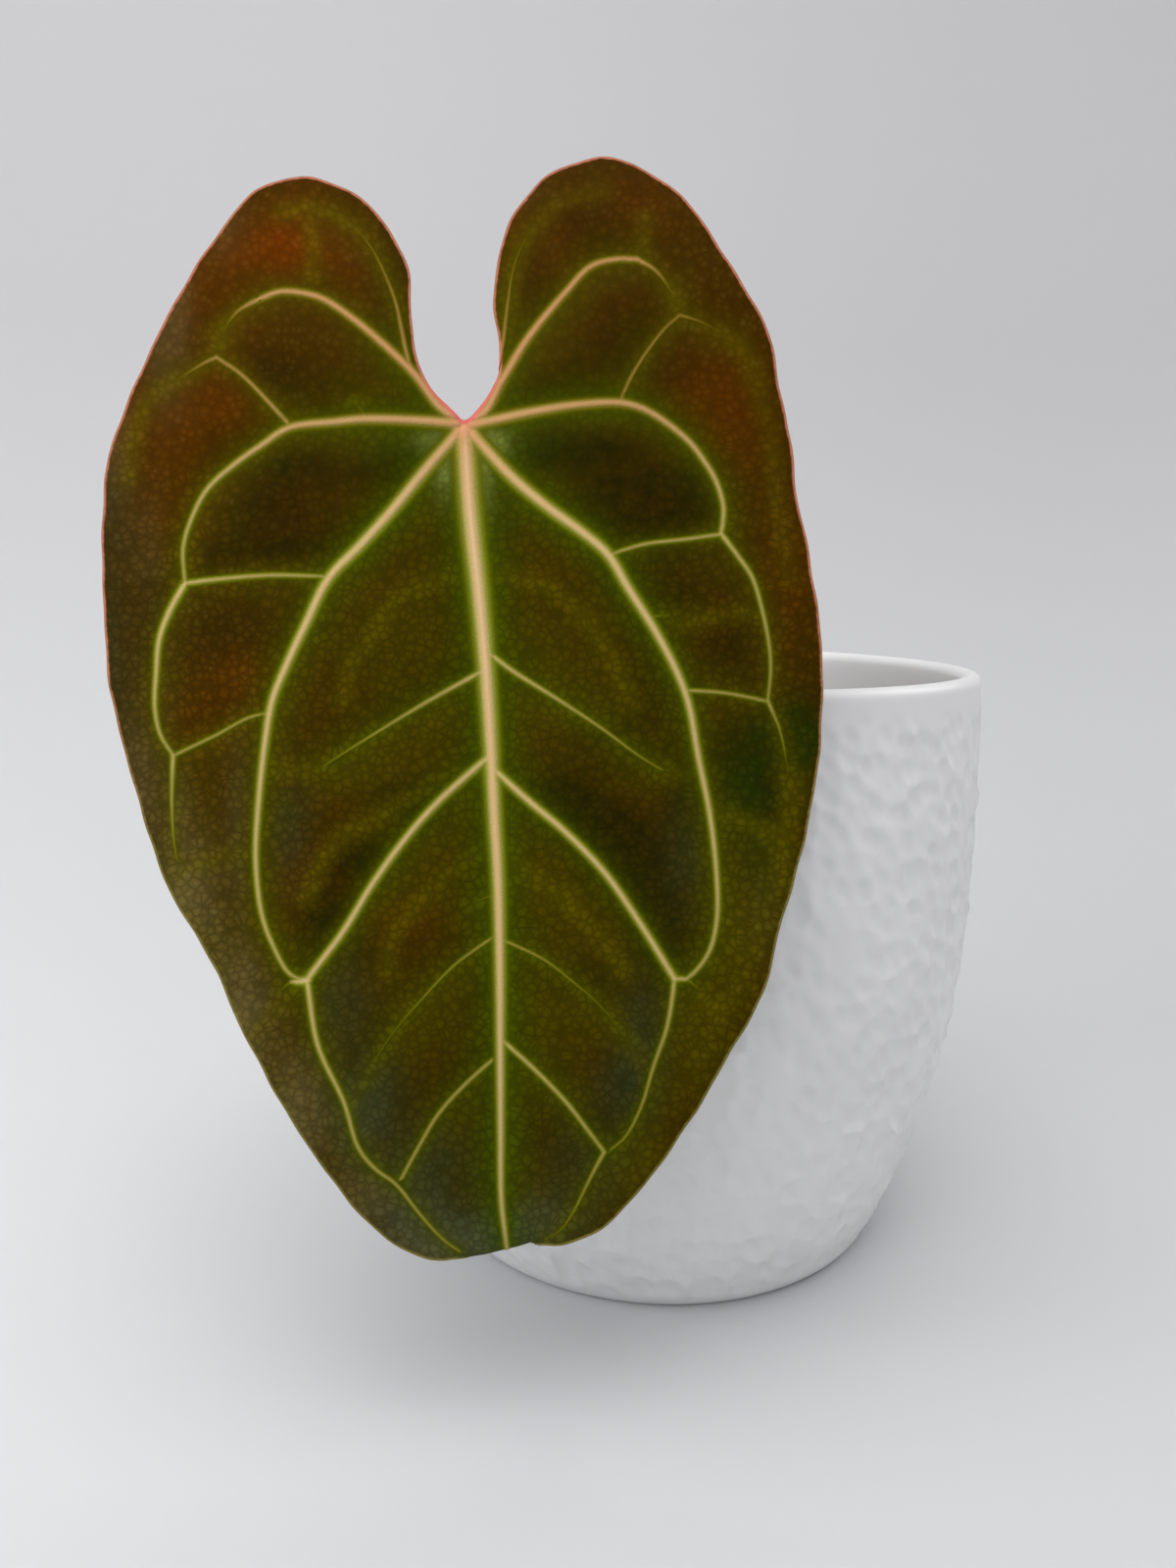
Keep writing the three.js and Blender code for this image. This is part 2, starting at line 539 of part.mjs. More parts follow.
/** How high the ribs stand at a point, in front and behind, and how far the nearest one is. */
function ribsAt(u, v) {
  let [front, behind, nearest] = [0, 0, Infinity];
  for (const rib of RIBS) {
    for (let step = 1; step < rib.length; step += 1) {
      const [distance, share] = distanceTo(u, v, rib[step - 1], rib[step]);
      nearest = Math.min(nearest, distance);
      const width = THREE.MathUtils.lerp(rib[step - 1].width, rib[step].width, share);
      const slope = Math.max(0, 1 - distance / ribBase(width));
      front = Math.max(front, slope * (RIB_FRONT.least + RIB_FRONT.share * width));
      behind = Math.max(behind, slope * (RIB_BACK.least + RIB_BACK.share * width));
    }
  }
  return { front, behind, nearest };
}

/** The midrib's u at a height v: it bows to the right and then runs nearly straight down. */
function midribAt(v) {
  return MIDRIB_BOW * (1 - Math.exp(Math.min(v, 0) / MIDRIB_BOW_REACH));
}

/** How far the blade's middle surface lies behind its plane. */
function fallBack(u, v, nearest) {
  const side = u - midribAt(v);
  const reach = Math.abs(side) / HALF_WIDTH;
  const keel = KEEL * Math.exp(-((side / KEEL_WIDTH) ** 2));
  const lobes = LOBE_FALL * (Math.max(v, 0) / LOBE_REACH) ** 2;
  const end = END_FALL * (Math.max(END_START - v, 0) / END_REACH) ** 2;
  const wave = WAVE * reach ** 2 * Math.sin(v / WAVE_PITCH + 2 * Math.sign(side));
  const puff = PUFF * (1 - Math.exp(-((nearest / PUFF_REACH) ** 2)));
  return keel + SIDE_FALL * reach ** SIDE_FALL_POWER + lobes + end + wave - puff;
}

/** The middle surface in the blade's axes: x is u, y is v and z is towards the viewer. */
function bladePoint(u, v, nearest) {
  const tilt = Math.hypot(1, ROLL_LINE.slope);
  const below = Math.max((ROLL_LINE.v + ROLL_LINE.slope * (u - ROLL_LINE.u) - v) / tilt, 0);
  const angle = Math.min(below / ROLL_RADIUS, ROLL_ANGLE);
  const straight = below - angle * ROLL_RADIUS;
  const drop = ROLL_RADIUS * Math.sin(angle) + straight * Math.cos(angle);
  const behind = ROLL_RADIUS * (1 - Math.cos(angle)) + straight * Math.sin(angle);
  const share = smoothStep(...ROLL_SIDES[0], u) * (1 - smoothStep(...ROLL_SIDES[1], u));
  const away = fallBack(u, v, nearest) + share * behind;
  const rolled = v + share * (below - drop);
  const spread = 1 + away / SIGHT[2];
  return new THREE.Vector3(
    SIGHT[0] + (u - SIGHT[0]) * spread,
    SIGHT[1] + (rolled - SIGHT[1]) * spread,
    -away,
  );
}

/** The direction that the blade's face looks in at a point, from its slopes across and up. */
function facing(u, v, nearest) {
  const [left, right] = [bladePoint(u - SLOPE_REACH, v, nearest), bladePoint(u + SLOPE_REACH, v, nearest)];
  const [low, high] = [bladePoint(u, v - SLOPE_REACH, nearest), bladePoint(u, v + SLOPE_REACH, nearest)];
  const across = right.sub(left);
  const up = high.sub(low);
  return across.cross(up).normalize();
}

/** True if a point is inside a closed line: a ray from it crosses the line an odd number of times. */
function isInside([u, v], line) {
  let inside = false;
  line.forEach(([au, av], index) => {
    const [bu, bv] = line[(index + 1) % line.length];
    if (av > v !== bv > v && u < ((bu - au) * (v - av)) / (bv - av) + au) inside = !inside;
  });
  return inside;
}

/** The blade's corner points: the margin, each rib's crest and two feet, the roll's rows and a fill. */
function bladeCorners() {
  const margin = marginPoints();
  const points = [...margin];
  const add = ([u, v], clear) => {
    if (!isInside([u, v], margin)) return;
    if (points.some((point) => Math.hypot(point[0] - u, point[1] - v) < clear)) return;
    const nearMargin = margin.some(([au, av], index) => {
      const [bu, bv] = margin[(index + 1) % margin.length];
      return distanceTo(u, v, { u: au, v: av }, { u: bu, v: bv })[0] < MARGIN_CLEAR;
    });
    if (!nearMargin) points.push([u, v]);
  };
  for (const rib of RIBS) for (const { u, v } of rib) add([u, v], POINT_CLEAR);
  for (const rib of RIBS) {
    rib.forEach(({ u, v, width }, step) => {
      const before = rib[Math.max(step - 1, 0)];
      const after = rib[Math.min(step + 1, rib.length - 1)];
      const [du, dv] = [after.u - before.u, after.v - before.v];
      const reach = ribBase(width) / Math.hypot(du, dv);
      add([u - dv * reach, v + du * reach], POINT_CLEAR);
      add([u + dv * reach, v - du * reach], POINT_CLEAR);
    });
  }
  for (let below = 0; below < TIP_ROWS_DEPTH; below += TIP_STEP) {
    for (let u = ROLL_SIDES[0][0]; u < ROLL_SIDES[1][1]; u += 2 * TIP_STEP) {
      add([u, ROLL_LINE.v + ROLL_LINE.slope * u - below], POINT_CLEAR);
    }
  }
  const rowHeight = FILL_STEP * Math.sqrt(0.75);
  for (let row = FILL_ROWS[0]; row < FILL_ROWS[1]; row += 1) {
    for (let column = FILL_COLUMNS[0]; column < FILL_COLUMNS[1]; column += 1) {
      add([(column + (row % 2) / 2) * FILL_STEP, row * rowHeight], FILL_CLEAR);
    }
  }
  return { points, margin };
}

/** The circle through three points: its middle and its radius squared. */
function circleThrough([au, av], [bu, bv], [cu, cv]) {
  const [pu, pv, qu, qv] = [bu - au, bv - av, cu - au, cv - av];
  const twice = 2 * (pu * qv - pv * qu);
  const [p, q] = [pu * pu + pv * pv, qu * qu + qv * qv];
  const [u, v] = [(qv * p - pv * q) / twice, (pu * q - qu * p) / twice];
  return { u: au + u, v: av + v, square: u * u + v * v };
}

/**
 * Triangles between points so that no circle through a triangle's corners holds another point. Each point
 * removes the triangles whose circle holds it, and is joined to the edges of the hole that they leave.
 */
function triangulate(points) {
  const random = randomFrom(SEED + 2);
  const placed = points.map(([u, v]) => [u + NUDGE * random(), v + NUDGE * random()]);
  const first = placed.length;
  placed.push(...FAR_CORNERS);
  const circle = (a, b, c) => ({ corners: [a, b, c], ...circleThrough(placed[a], placed[b], placed[c]) });
  let triangles = [circle(first, first + 1, first + 2)];
  for (let index = 0; index < first; index += 1) {
    const [u, v] = placed[index];
    const hole = new Map();
    triangles = triangles.filter((triangle) => {
      if ((triangle.u - u) ** 2 + (triangle.v - v) ** 2 >= triangle.square) return true;
      const [a, b, c] = triangle.corners;
      for (const [from, to] of [[a, b], [b, c], [c, a]]) {
        if (!hole.delete(`${to},${from}`)) hole.set(`${from},${to}`, [from, to]);
      }
      return false;
    });
    for (const [from, to] of hole.values()) triangles.push(circle(from, to, index));
  }
  return triangles.map(({ corners }) => corners).filter((corners) => Math.max(...corners) < first);
}

const { points: corners, margin } = bladeCorners();
const panels = triangulate(corners).filter((triangle) => {
  const middle = [0, 1].map((axis) => triangle.reduce((sum, corner) => sum + corners[corner][axis], 0) / 3);
  return isInside(middle, margin);
});

/** The blade, made thicker all over by extra. */
function bladeGeometry(extra) {
  const front = [];
  const back = [];
  for (const [u, v] of corners) {
    const rib = ribsAt(u, v);
    const middle = bladePoint(u, v, rib.nearest);
    const direction = facing(u, v, rib.nearest);
    front.push(middle.clone().addScaledVector(direction, BLADE_THICKNESS / 2 + rib.front + extra));
    back.push(middle.clone().addScaledVector(direction, -BLADE_THICKNESS / 2 - rib.behind - extra));
  }
  return thickSheet(front, back, panels);
}

// From the blade's axes to the pot's frame: roll in its own plane, lean back, turn, and move to JOIN.
const bladeFrame = new THREE.Matrix4()
  .makeRotationZ(THREE.MathUtils.degToRad(TURN))
  .multiply(new THREE.Matrix4().makeRotationX(THREE.MathUtils.degToRad(LEAN)))
  .multiply(new THREE.Matrix4().makeRotationZ(THREE.MathUtils.degToRad(ROLL)))
  .setPosition(...JOIN);

// Petiole

function petioleGeometry() {
  const through = new THREE.Vector3(0, 0, PETIOLE_PAST);
  const end = bladePoint(...PETIOLE_END, 0).add(through).applyMatrix4(bladeFrame);
  const line = [new THREE.Vector3(...STEM_PLACE, STEM_TOP - 1)];
  line.push(...PETIOLE_LINE.map((point) => new THREE.Vector3(...point)));
  line.push(end);
  const length = new THREE.CatmullRomCurve3(line, false, 'centripetal').getLength();
  const jointShare = JOINT_LENGTH / length;
  const radiusAt = (share) => {
    const past = (share - PETIOLE_FOOT) / (1 - PETIOLE_FOOT);
    const stalk = past < 0
      ? THREE.MathUtils.lerp(PETIOLE_RADIUS[0], PETIOLE_RADIUS[1], smoothStep(0, PETIOLE_FOOT, share))
      : THREE.MathUtils.lerp(PETIOLE_RADIUS[1], PETIOLE_RADIUS[2], past);
    const swell = smoothStep(1 - JOINT_START[0] * jointShare, 1 - JOINT_START[1] * jointShare, share);
    return stalk + JOINT_SWELL * swell;
  };
  const stalk = solid(limb(line, radiusAt, PETIOLE_MESH));
  const blade = bladeGeometry(GAP).applyMatrix4(bladeFrame);
  const stemTop = new THREE.BoxGeometry(STEM_TOP_CUT, STEM_TOP_CUT, STEM_TOP_CUT);
  stemTop.translate(...STEM_PLACE, STEM_TOP + GAP - STEM_TOP_CUT / 2);
  const pieces = stalk.subtract(solid(blade)).subtract(solid(stemTop)).decompose();
  const [longest] = pieces.sort((one, other) => other.volume() - one.volume());
  return surfaceOf(longest);
}

// The whole plant in its pot

const holes = [stemLimb(GAP), ...ROOT_ANGLES.map((angle) => rootLimb(angle, GAP))];
const blade = mesh('leaf_blade', bladeGeometry(0), LOOKS.blade);
blade.applyMatrix4(bladeFrame);

const plant = new THREE.Group();
plant.add(mesh('pot', potGeometry(), LOOKS.pot));
plant.add(mesh('potting_mix', mixGeometry(holes), LOOKS.mix));
plant.add(mesh('stem', stemGeometry(), LOOKS.stem));
plant.add(mesh('petiole', petioleGeometry(), LOOKS.petiole));
SHEATHS.forEach((sheath, index) => {
  plant.add(mesh(`sheath_${index + 1}`, sheathGeometry(sheath), LOOKS.sheath));
});
plant.add(blade);

export default plant;
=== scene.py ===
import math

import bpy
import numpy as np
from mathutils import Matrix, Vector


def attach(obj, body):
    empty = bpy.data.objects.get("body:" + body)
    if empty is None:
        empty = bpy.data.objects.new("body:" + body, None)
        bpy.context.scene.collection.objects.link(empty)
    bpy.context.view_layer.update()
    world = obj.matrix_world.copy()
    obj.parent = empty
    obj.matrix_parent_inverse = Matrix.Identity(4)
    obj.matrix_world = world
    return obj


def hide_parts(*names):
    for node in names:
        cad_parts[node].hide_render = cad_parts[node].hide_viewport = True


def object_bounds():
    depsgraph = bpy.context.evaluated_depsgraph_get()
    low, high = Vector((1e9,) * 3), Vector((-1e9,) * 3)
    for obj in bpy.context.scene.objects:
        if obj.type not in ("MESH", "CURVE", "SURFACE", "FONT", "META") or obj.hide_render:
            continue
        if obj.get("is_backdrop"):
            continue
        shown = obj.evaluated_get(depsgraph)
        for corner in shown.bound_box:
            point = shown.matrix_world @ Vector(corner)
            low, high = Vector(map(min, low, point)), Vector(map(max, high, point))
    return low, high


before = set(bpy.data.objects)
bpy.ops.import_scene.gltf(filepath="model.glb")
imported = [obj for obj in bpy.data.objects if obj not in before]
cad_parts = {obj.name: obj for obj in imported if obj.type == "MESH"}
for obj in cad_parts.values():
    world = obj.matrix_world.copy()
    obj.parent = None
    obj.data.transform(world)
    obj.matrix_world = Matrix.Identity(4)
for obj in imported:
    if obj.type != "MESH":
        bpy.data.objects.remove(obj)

# %% [markdown]
# # A potted anthurium with one velvety leaf
#
# The plant stands in a white glazed pot. One heart-shaped leaf blade hangs in front of the rim on an
# arching stalk, which grows from a short stem in bark mix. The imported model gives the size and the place
# of each piece, and this script builds the finished surfaces in the same frame.
#
# All shapes are worked out in millimetres and turned to metres when a mesh is made. +Z is up, +X is to
# the right and +Y points away from the viewer.

CAD_BOX = [list(corner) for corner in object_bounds()]
MM = 0.001
BODY = "root"
print("solid model, from", CAD_BOX[0], "to", CAD_BOX[1])


def smoothstep(start, end, x):
    """0 below start, 1 above end, and 3t^2 - 2t^3 between them, with t the share of the way."""
    t = np.clip((x - start) / (end - start), 0, 1)
    return t * t * (3 - 2 * t)


# %% [markdown]
# ## Smooth lines
#
# The margin of the blade, its veins, the leaf stalk and the roots are all smooth lines through a few
# points. Blender's own curves could carry them, but a line as an array of points can also be measured,
# which the colours of the veins need. Each stretch is a cubic whose slope at a point comes from both
# neighbours. Each neighbour's distance counts by its square root, so that close points make no loops.

# %% A smooth line through points
SAMPLES_A_STRETCH = 24


def smooth_line(points, step, closed=False):
    """Points about step apart on cubics p(t) = p1 + out t + (3d - 2 out - into) t^2 + (out + into - 2d) t^3,
    where d = p2 - p1, and out and into are the slopes at the two ends."""
    points = np.asarray(points, float)
    if closed:
        padded = np.concatenate([points[-1:], points, points[:2]])
    else:
        padded = np.concatenate([2 * points[:1] - points[1:2], points, 2 * points[-1:] - points[-2:-1]])
    stretches = len(padded) - 3
    p0, p1, p2, p3 = (padded[start : start + stretches] for start in range(4))
    g0, g1, g2 = (np.sqrt(np.linalg.norm(b - a, axis=1))[:, None] for a, b in ((p0, p1), (p1, p2), (p2, p3)))
    out = g1 * ((p1 - p0) / g0 - (p2 - p0) / (g0 + g1) + (p2 - p1) / g1)
    into = g1 * ((p2 - p1) / g1 - (p3 - p1) / (g1 + g2) + (p3 - p2) / g2)
    t = np.linspace(0, 1, SAMPLES_A_STRETCH, endpoint=False)[:, None, None]
    d = p2 - p1
    fine = p1 + out * t + (3 * d - 2 * out - into) * t**2 + (out + into - 2 * d) * t**3
    fine = np.concatenate([fine.transpose(1, 0, 2).reshape(-1, points.shape[1]), p2[-1:]])
    reach = lengths_along(fine)
    return at_lengths(fine, np.linspace(0, reach[-1], max(2, round(reach[-1] / step) + 1)))


def lengths_along(line):
    """The distance from the line's start to each of its points."""
    return np.concatenate([[0], np.cumsum(np.linalg.norm(np.diff(line, axis=0), axis=1))])


def at_lengths(line, lengths):
    """The places on a line at these distances from its start."""
    reach = lengths_along(line)
    return np.column_stack([np.interp(lengths, reach, line[:, axis]) for axis in range(line.shape[1])])


# %% [markdown]
# ## Meshes from arrays
#
# A surface is a grid of points, worked out as one array. Where two grids meet, or a row shrinks to a
# point, their corners fall in the same place. Those corners are made one, so that each piece is a closed
# skin with no slits at its seams and poles.

# %% Grids, welds and pieces
WELD_DIGITS = 4


def grid_faces(rows, columns, round_columns=False):
    """Four corners for each cell of a grid whose points are numbered row by row."""
    row, column = np.meshgrid(np.arange(rows - 1), np.arange(columns - (not round_columns)), indexing="ij")
    after = (column + 1) % columns
    corners = [row * columns + column, row * columns + after, (row + 1) * columns + after]
    return np.stack([*corners, (row + 1) * columns + column], axis=-1).reshape(-1, 4)


def circles(reach, height, columns):
    """A grid of points on circles round the Z axis, row by row. reach and height have one value for each row,
    or one for each point."""
    turn = 2 * np.pi * np.arange(columns) / columns
    return np.stack(np.broadcast_arrays(reach * np.cos(turn), reach * np.sin(turn), height), axis=-1)


def welded(points, quads):
    """Makes corners in the same place one. Returns the kept points' numbers, the quads and the triangles."""
    rounded = np.round(points, WELD_DIGITS)
    _, first, number = np.unique(rounded, axis=0, return_index=True, return_inverse=True)
    quads = number.reshape(-1)[quads]
    same = quads == np.roll(quads, -1, axis=1)
    shrunk = same.sum(axis=1)
    triangles = quads[shrunk == 1][~same[shrunk == 1]].reshape(-1, 3)
    return first, quads[shrunk == 0], triangles


def ring_skin(grid):
    """A skin from a grid whose columns run round: its points, its quads and its triangles."""
    points = grid.reshape(-1, 3)
    kept, quads, triangles = welded(points, grid_faces(*grid.shape[:2], round_columns=True))
    return points[kept], quads, triangles


def make_piece(name, points, face_lists, node, materials):
    """A mesh object from points in millimetres, riding on the plant and standing for a CAD node."""
    mesh = bpy.data.meshes.new(name)
    faces = [face for faces in face_lists for face in faces.tolist()]
    mesh.from_pydata((points * MM).tolist(), [], faces)
    mesh.polygons.foreach_set("use_smooth", np.full(len(faces), True))
    for material in materials:
        mesh.materials.append(material)
    mesh.update()
    piece = bpy.data.objects.new(name, mesh)
    bpy.context.scene.collection.objects.link(piece)
    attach(piece, BODY)
    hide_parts(node)
    triangles = sum(len(face) - 2 for face in faces)
    print(f"{name}: {triangles} triangles, {np.ptp(points, axis=0).round(1)} mm")
    return piece


# %% [markdown]
# ## Colours and shader nodes
#
# Colours are written as they look on a screen, in hex. The renderer adds up light, so it needs values in
# proportion to light, and one function turns the one into the other. Materials are small networks of
# nodes, and one function adds a node with its settings and its links.

# %% Colours and nodes


def linear(colour):
    """An sRGB hex colour as linear red, green, blue and an alpha of 1."""
    parts = [int(colour[place : place + 2], 16) / 255 for place in (0, 2, 4)]
    return [part / 12.92 if part <= 0.04045 else ((part + 0.055) / 1.055) ** 2.4 for part in parts] + [1.0]


def add(tree, kind, settings=None, *values, out=0, **named):
    """Adds a node and returns one of its outputs. settings is an operation's name or a dictionary. The values
    go to the inputs in use, in their order, and the named ones by name, with _ for a space. A value is an
    output to link, a hex colour or a plain value."""
    node = tree.nodes.new("ShaderNode" + kind)
    settings = {"operation": settings} if isinstance(settings, str) else settings or {}
    for name, value in settings.items():
        setattr(node, name, value)
    sockets = [socket for socket in node.inputs if socket.enabled]
    by_name = {socket.name.replace(" ", "_"): socket for socket in sockets}
    for socket, value in [*zip(sockets, values), *((by_name[name], value) for name, value in named.items())]:
        if isinstance(value, bpy.types.NodeSocket):
            tree.links.new(value, socket)
        else:
            socket.default_value = linear(value) if isinstance(value, str) else value
    outputs = [socket for socket in node.outputs if socket.enabled]
    return node.outputs[out] if isinstance(out, str) else outputs[out]


def new_material(name, **constants):
    """A material whose shader's sockets take the constants. Returns it, its tree and its shader."""
    material = bpy.data.materials.new(name)
    material.use_nodes = True
    tree = material.node_tree
    shader = tree.nodes["Principled BSDF"]
    for socket, value in constants.items():
        shader.inputs[socket.replace("_", " ")].default_value = value
    return material, tree, shader


def dress_shader(tree, shader, colour, height=None, strength=0.0, depth=0.0):
    """Gives the shader its colour and, where there is a height, bumps of a strength and a depth in metres."""
    tree.links.new(colour, shader.inputs["Base Color"])
    if height is not None:
        bump = add(tree, "Bump", None, Strength=strength, Distance=depth, Height=height)
        tree.links.new(bump, shader.inputs["Normal"])


MIX_COLOUR = {"data_type": "RGBA"}
MULTIPLY_COLOUR = {"data_type": "RGBA", "blend_type": "MULTIPLY"}
SMOOTH_RANGE = {"interpolation_type": "SMOOTHSTEP"}
MULTIPLY_WITHIN = {"operation": "MULTIPLY", "use_clamp": True}
MULTIPLY_ADD_WITHIN = {"operation": "MULTIPLY_ADD", "use_clamp": True}

# %% [markdown]
# ## Camera and light
#
# The viewer stands close, a little above the rim, and looks slightly down and to the left. The photo was
# taken in a light tent: light comes softly from above and from all sides, and a pale sheet runs under the
# pot and curves up behind it. So the floor here is one round sheet with a curved rim, of the same form
# from all sides, with painted shade on its wall and its right side. Soft panels hang above it.

# %% Camera
EYE = (0.0, -276.7, 151.2)
TURN_LEFT, LOOK_DOWN, TILT = 3.8, 10.0, 0.7
LENS, SENSOR = 27.0, 36.0
NEAREST_SEEN = 0.01


def turned(axis, degrees):
    """The matrix that turns about the X or the Z axis."""
    c, s = math.cos(math.radians(degrees)), math.sin(math.radians(degrees))
    about_x = [[1, 0, 0], [0, c, -s], [0, s, c]]
    about_z = [[c, -s, 0], [s, c, 0], [0, 0, 1]]
    return np.array(about_x if axis == "x" else about_z)


camera = bpy.data.objects.new("camera", bpy.data.cameras.new("camera"))
camera.data.lens = LENS
camera.data.sensor_width = SENSOR
camera.data.clip_start = NEAREST_SEEN
camera_matrix = np.eye(4)
camera_matrix[:3, :3] = turned("z", TURN_LEFT) @ turned("x", 90 - LOOK_DOWN) @ turned("z", TILT)
camera_matrix[:3, 3] = np.array(EYE) * MM
camera.matrix_world = Matrix(camera_matrix.tolist())
bpy.context.scene.collection.objects.link(camera)
bpy.context.scene.camera = camera
print("camera at", EYE, "mm")

# %% Floor and backdrop
FLAT_REACH, WALL_HEIGHT = 185.0, 330.0
CURVE_RADIUS, CURVE_ANGLE, CURVE_ROWS = 330.0, 84.0, 24
FLOOR_COLUMNS = 96
# The wall's darker tone is painted shade: the paper itself is one tone.
FLOOR_TONE, SHADED_WALL_TONE = "d5d6d8", "cdcdcf"
SHADED_WALL_HEIGHT = 0.3
PAINTED_SIDE_LIGHT_AND_SHADE = (1.04, 0.87)  # painted light and shade: the sheet is a little lighter on its left and darker on its right
PAINTED_SIDE_LIGHT_AND_SHADE_REACH = 0.35

bend = np.radians(np.linspace(0, CURVE_ANGLE, CURVE_ROWS))
reach = FLAT_REACH + CURVE_RADIUS * np.sin(bend)
height = CURVE_RADIUS * (1 - np.cos(bend))
reach = np.concatenate([[0, FLAT_REACH / 2], reach, [reach[-1] + WALL_HEIGHT * math.cos(bend[-1])]])
height = np.concatenate([[0, 0], height, [height[-1] + WALL_HEIGHT * math.sin(bend[-1])]])
sheet, quads, triangles = ring_skin(circles(reach[:, None], height[:, None], FLOOR_COLUMNS))
floor_mesh = bpy.data.meshes.new("floor_sheet")
upward_faces = quads[:, ::-1].tolist() + triangles[:, ::-1].tolist()
floor_mesh.from_pydata((sheet * MM).tolist(), [], upward_faces)
floor_mesh.polygons.foreach_set("use_smooth", np.full(len(floor_mesh.polygons), True))
floor = bpy.data.objects.new("floor_sheet", floor_mesh)
bpy.context.scene.collection.objects.link(floor)
floor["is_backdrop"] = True

# A roll of matt white paper: no gloss, so it takes the light evenly. Its wall and its right side are painted
# darker, as painted shade, and its left a little lighter, as painted light.
paper, tree, shader = new_material("matt_white_paper", Roughness=0.9, Specular_IOR_Level=0.1)
# Painted shade: the colour turns darker up the wall, and is multiplied lighter to the left and darker to the
# right.
position = add(tree, "TexCoord", out="Object")
upward = add(tree, "SeparateXYZ", None, position, out=2)
upward = add(tree, "MapRange", SMOOTH_RANGE, upward, 0.0, SHADED_WALL_HEIGHT)
sheet_tone_and_shade = add(tree, "Mix", MIX_COLOUR, upward, FLOOR_TONE, SHADED_WALL_TONE)
sideways = add(tree, "SeparateXYZ", None, position)
sideways = add(tree, "MapRange", SMOOTH_RANGE, sideways, -PAINTED_SIDE_LIGHT_AND_SHADE_REACH, PAINTED_SIDE_LIGHT_AND_SHADE_REACH, *PAINTED_SIDE_LIGHT_AND_SHADE)
dress_shader(tree, shader, add(tree, "Mix", MULTIPLY_COLOUR, 1.0, sheet_tone_and_shade, sideways))
floor_mesh.materials.append(paper)
print("floor sheet", round(2 * reach[-1]), "mm across")

# %% Soft light
ROOM_COLOUR, ROOM_STRENGTH = "ececee", 0.3
PANEL_AIM = (0, 0, 0.11)
# Each panel: its place in mm, its size in mm, its power in watts and its colour.
PANELS = {
    "panel_above": ((20, 0, 860), 700, 2.8, "fffdfa"),
    "panel_front": ((-60, -440, 640), 520, 2.2, "ffffff"),
    "panel_left": ((-400, -200, 260), 300, 0.85, "fcfcfd"),
    "panel_right": ((420, 120, 420), 300, 0.45, "fcfcfd"),
}
world = bpy.context.scene.world or bpy.data.worlds.new("room")
bpy.context.scene.world = world
world.use_nodes = True
background = world.node_tree.nodes["Background"]
background.inputs["Color"].default_value = linear(ROOM_COLOUR)
background.inputs["Strength"].default_value = ROOM_STRENGTH
for name, (place, size, power, colour) in PANELS.items():
    light = bpy.data.lights.new(name, "AREA")
    light.size = size * MM
    light.energy = power
    light.color = linear(colour)[:3]
    panel = bpy.data.objects.new(name, light)
    panel.location = [part * MM for part in place]
    aim = Vector(PANEL_AIM) - panel.location
    panel.rotation_euler = aim.to_track_quat("-Z", "Y").to_euler()
    panel.visible_camera = False
    bpy.context.scene.collection.objects.link(panel)
bpy.context.scene.view_settings.view_transform = "Standard"
print(len(PANELS), "panels and the room's own light")

# %% [markdown]
# ## The blade's plan
#
# The blade is a heart with two lobes and a narrow tip that rolls back out of sight. It hangs almost flat
# towards the viewer, so its plan is drawn in its own plane, u to the right and v up from the bottom of
# the notch, in millimetres. A sculpted heart would be hard to measure. A plan gives the outline, the
# veins and later the colours from the same few points.

# %% Outline and veins
NOTCH = (0, 0.3)
TIP = (8.3, -156)
# Clockwise from the notch. The narrow tip is drawn unrolled.
OUTLINE = [
    (0, 0.3), (3.2, 3.2), (4.7, 5.5), (6, 8.3), (6, 12), (5, 19.2), (5.7, 26.5), (8, 34), (12, 39.3),
    (15.3, 41.7), (19, 43.1), (23.4, 44.1), (26.8, 43.3), (33, 40), (38.6, 34.7), (43.2, 27.7),
    (49.1, 17.9), (51.2, 13), (52.2, 5.7), (54.3, -3.4), (55.2, -12.7), (56.7, -19.2), (58.8, -32.2),
    (59.5, -44.4), (58.8, -55.7), (56.9, -67.4), (54.2, -77.7), (52.3, -84.2), (50.8, -90.7), (48.4, -97.2),
    (44.6, -103.7), (39, -113.3), (33, -122.4), (25.2, -131.6), (21.3, -134.7), (16.4, -136.3),
    (12.8, -136.3), (11.7, -136.7), (11.2, -138.4), (10.9, -141.9), (10.2, -146.7), (9.1, -152.4),
    (8.3, -156), (6.8, -152.1),
    (4.9, -147.2), (2.9, -143), (1.1, -139.9), (-0.5, -138.8), (-3.7, -138.9), (-6.5, -138.5),
    (-11.9, -136), (-19.5, -128.5), (-27.8, -116.8), (-36.1, -102), (-41.4, -90.2), (-49.6, -75.7),
    (-53.8, -62.7), (-58.3, -45.7), (-59.5, -34), (-59.8, -14.3), (-59.1, -7), (-55.6, 3.7),
    (-50.5, 14.8), (-45, 25), (-39.5, 32.8), (-37, 36.1), (-34.8, 38.3), (-31, 40.1), (-28.1, 40.6),
    (-24.5, 40.4), (-17.4, 37.5), (-13, 32.8), (-9.4, 25.8), (-8.6, 16.7), (-7.6, 9.7), (-4.9, 5), (-1, 1.1),
]
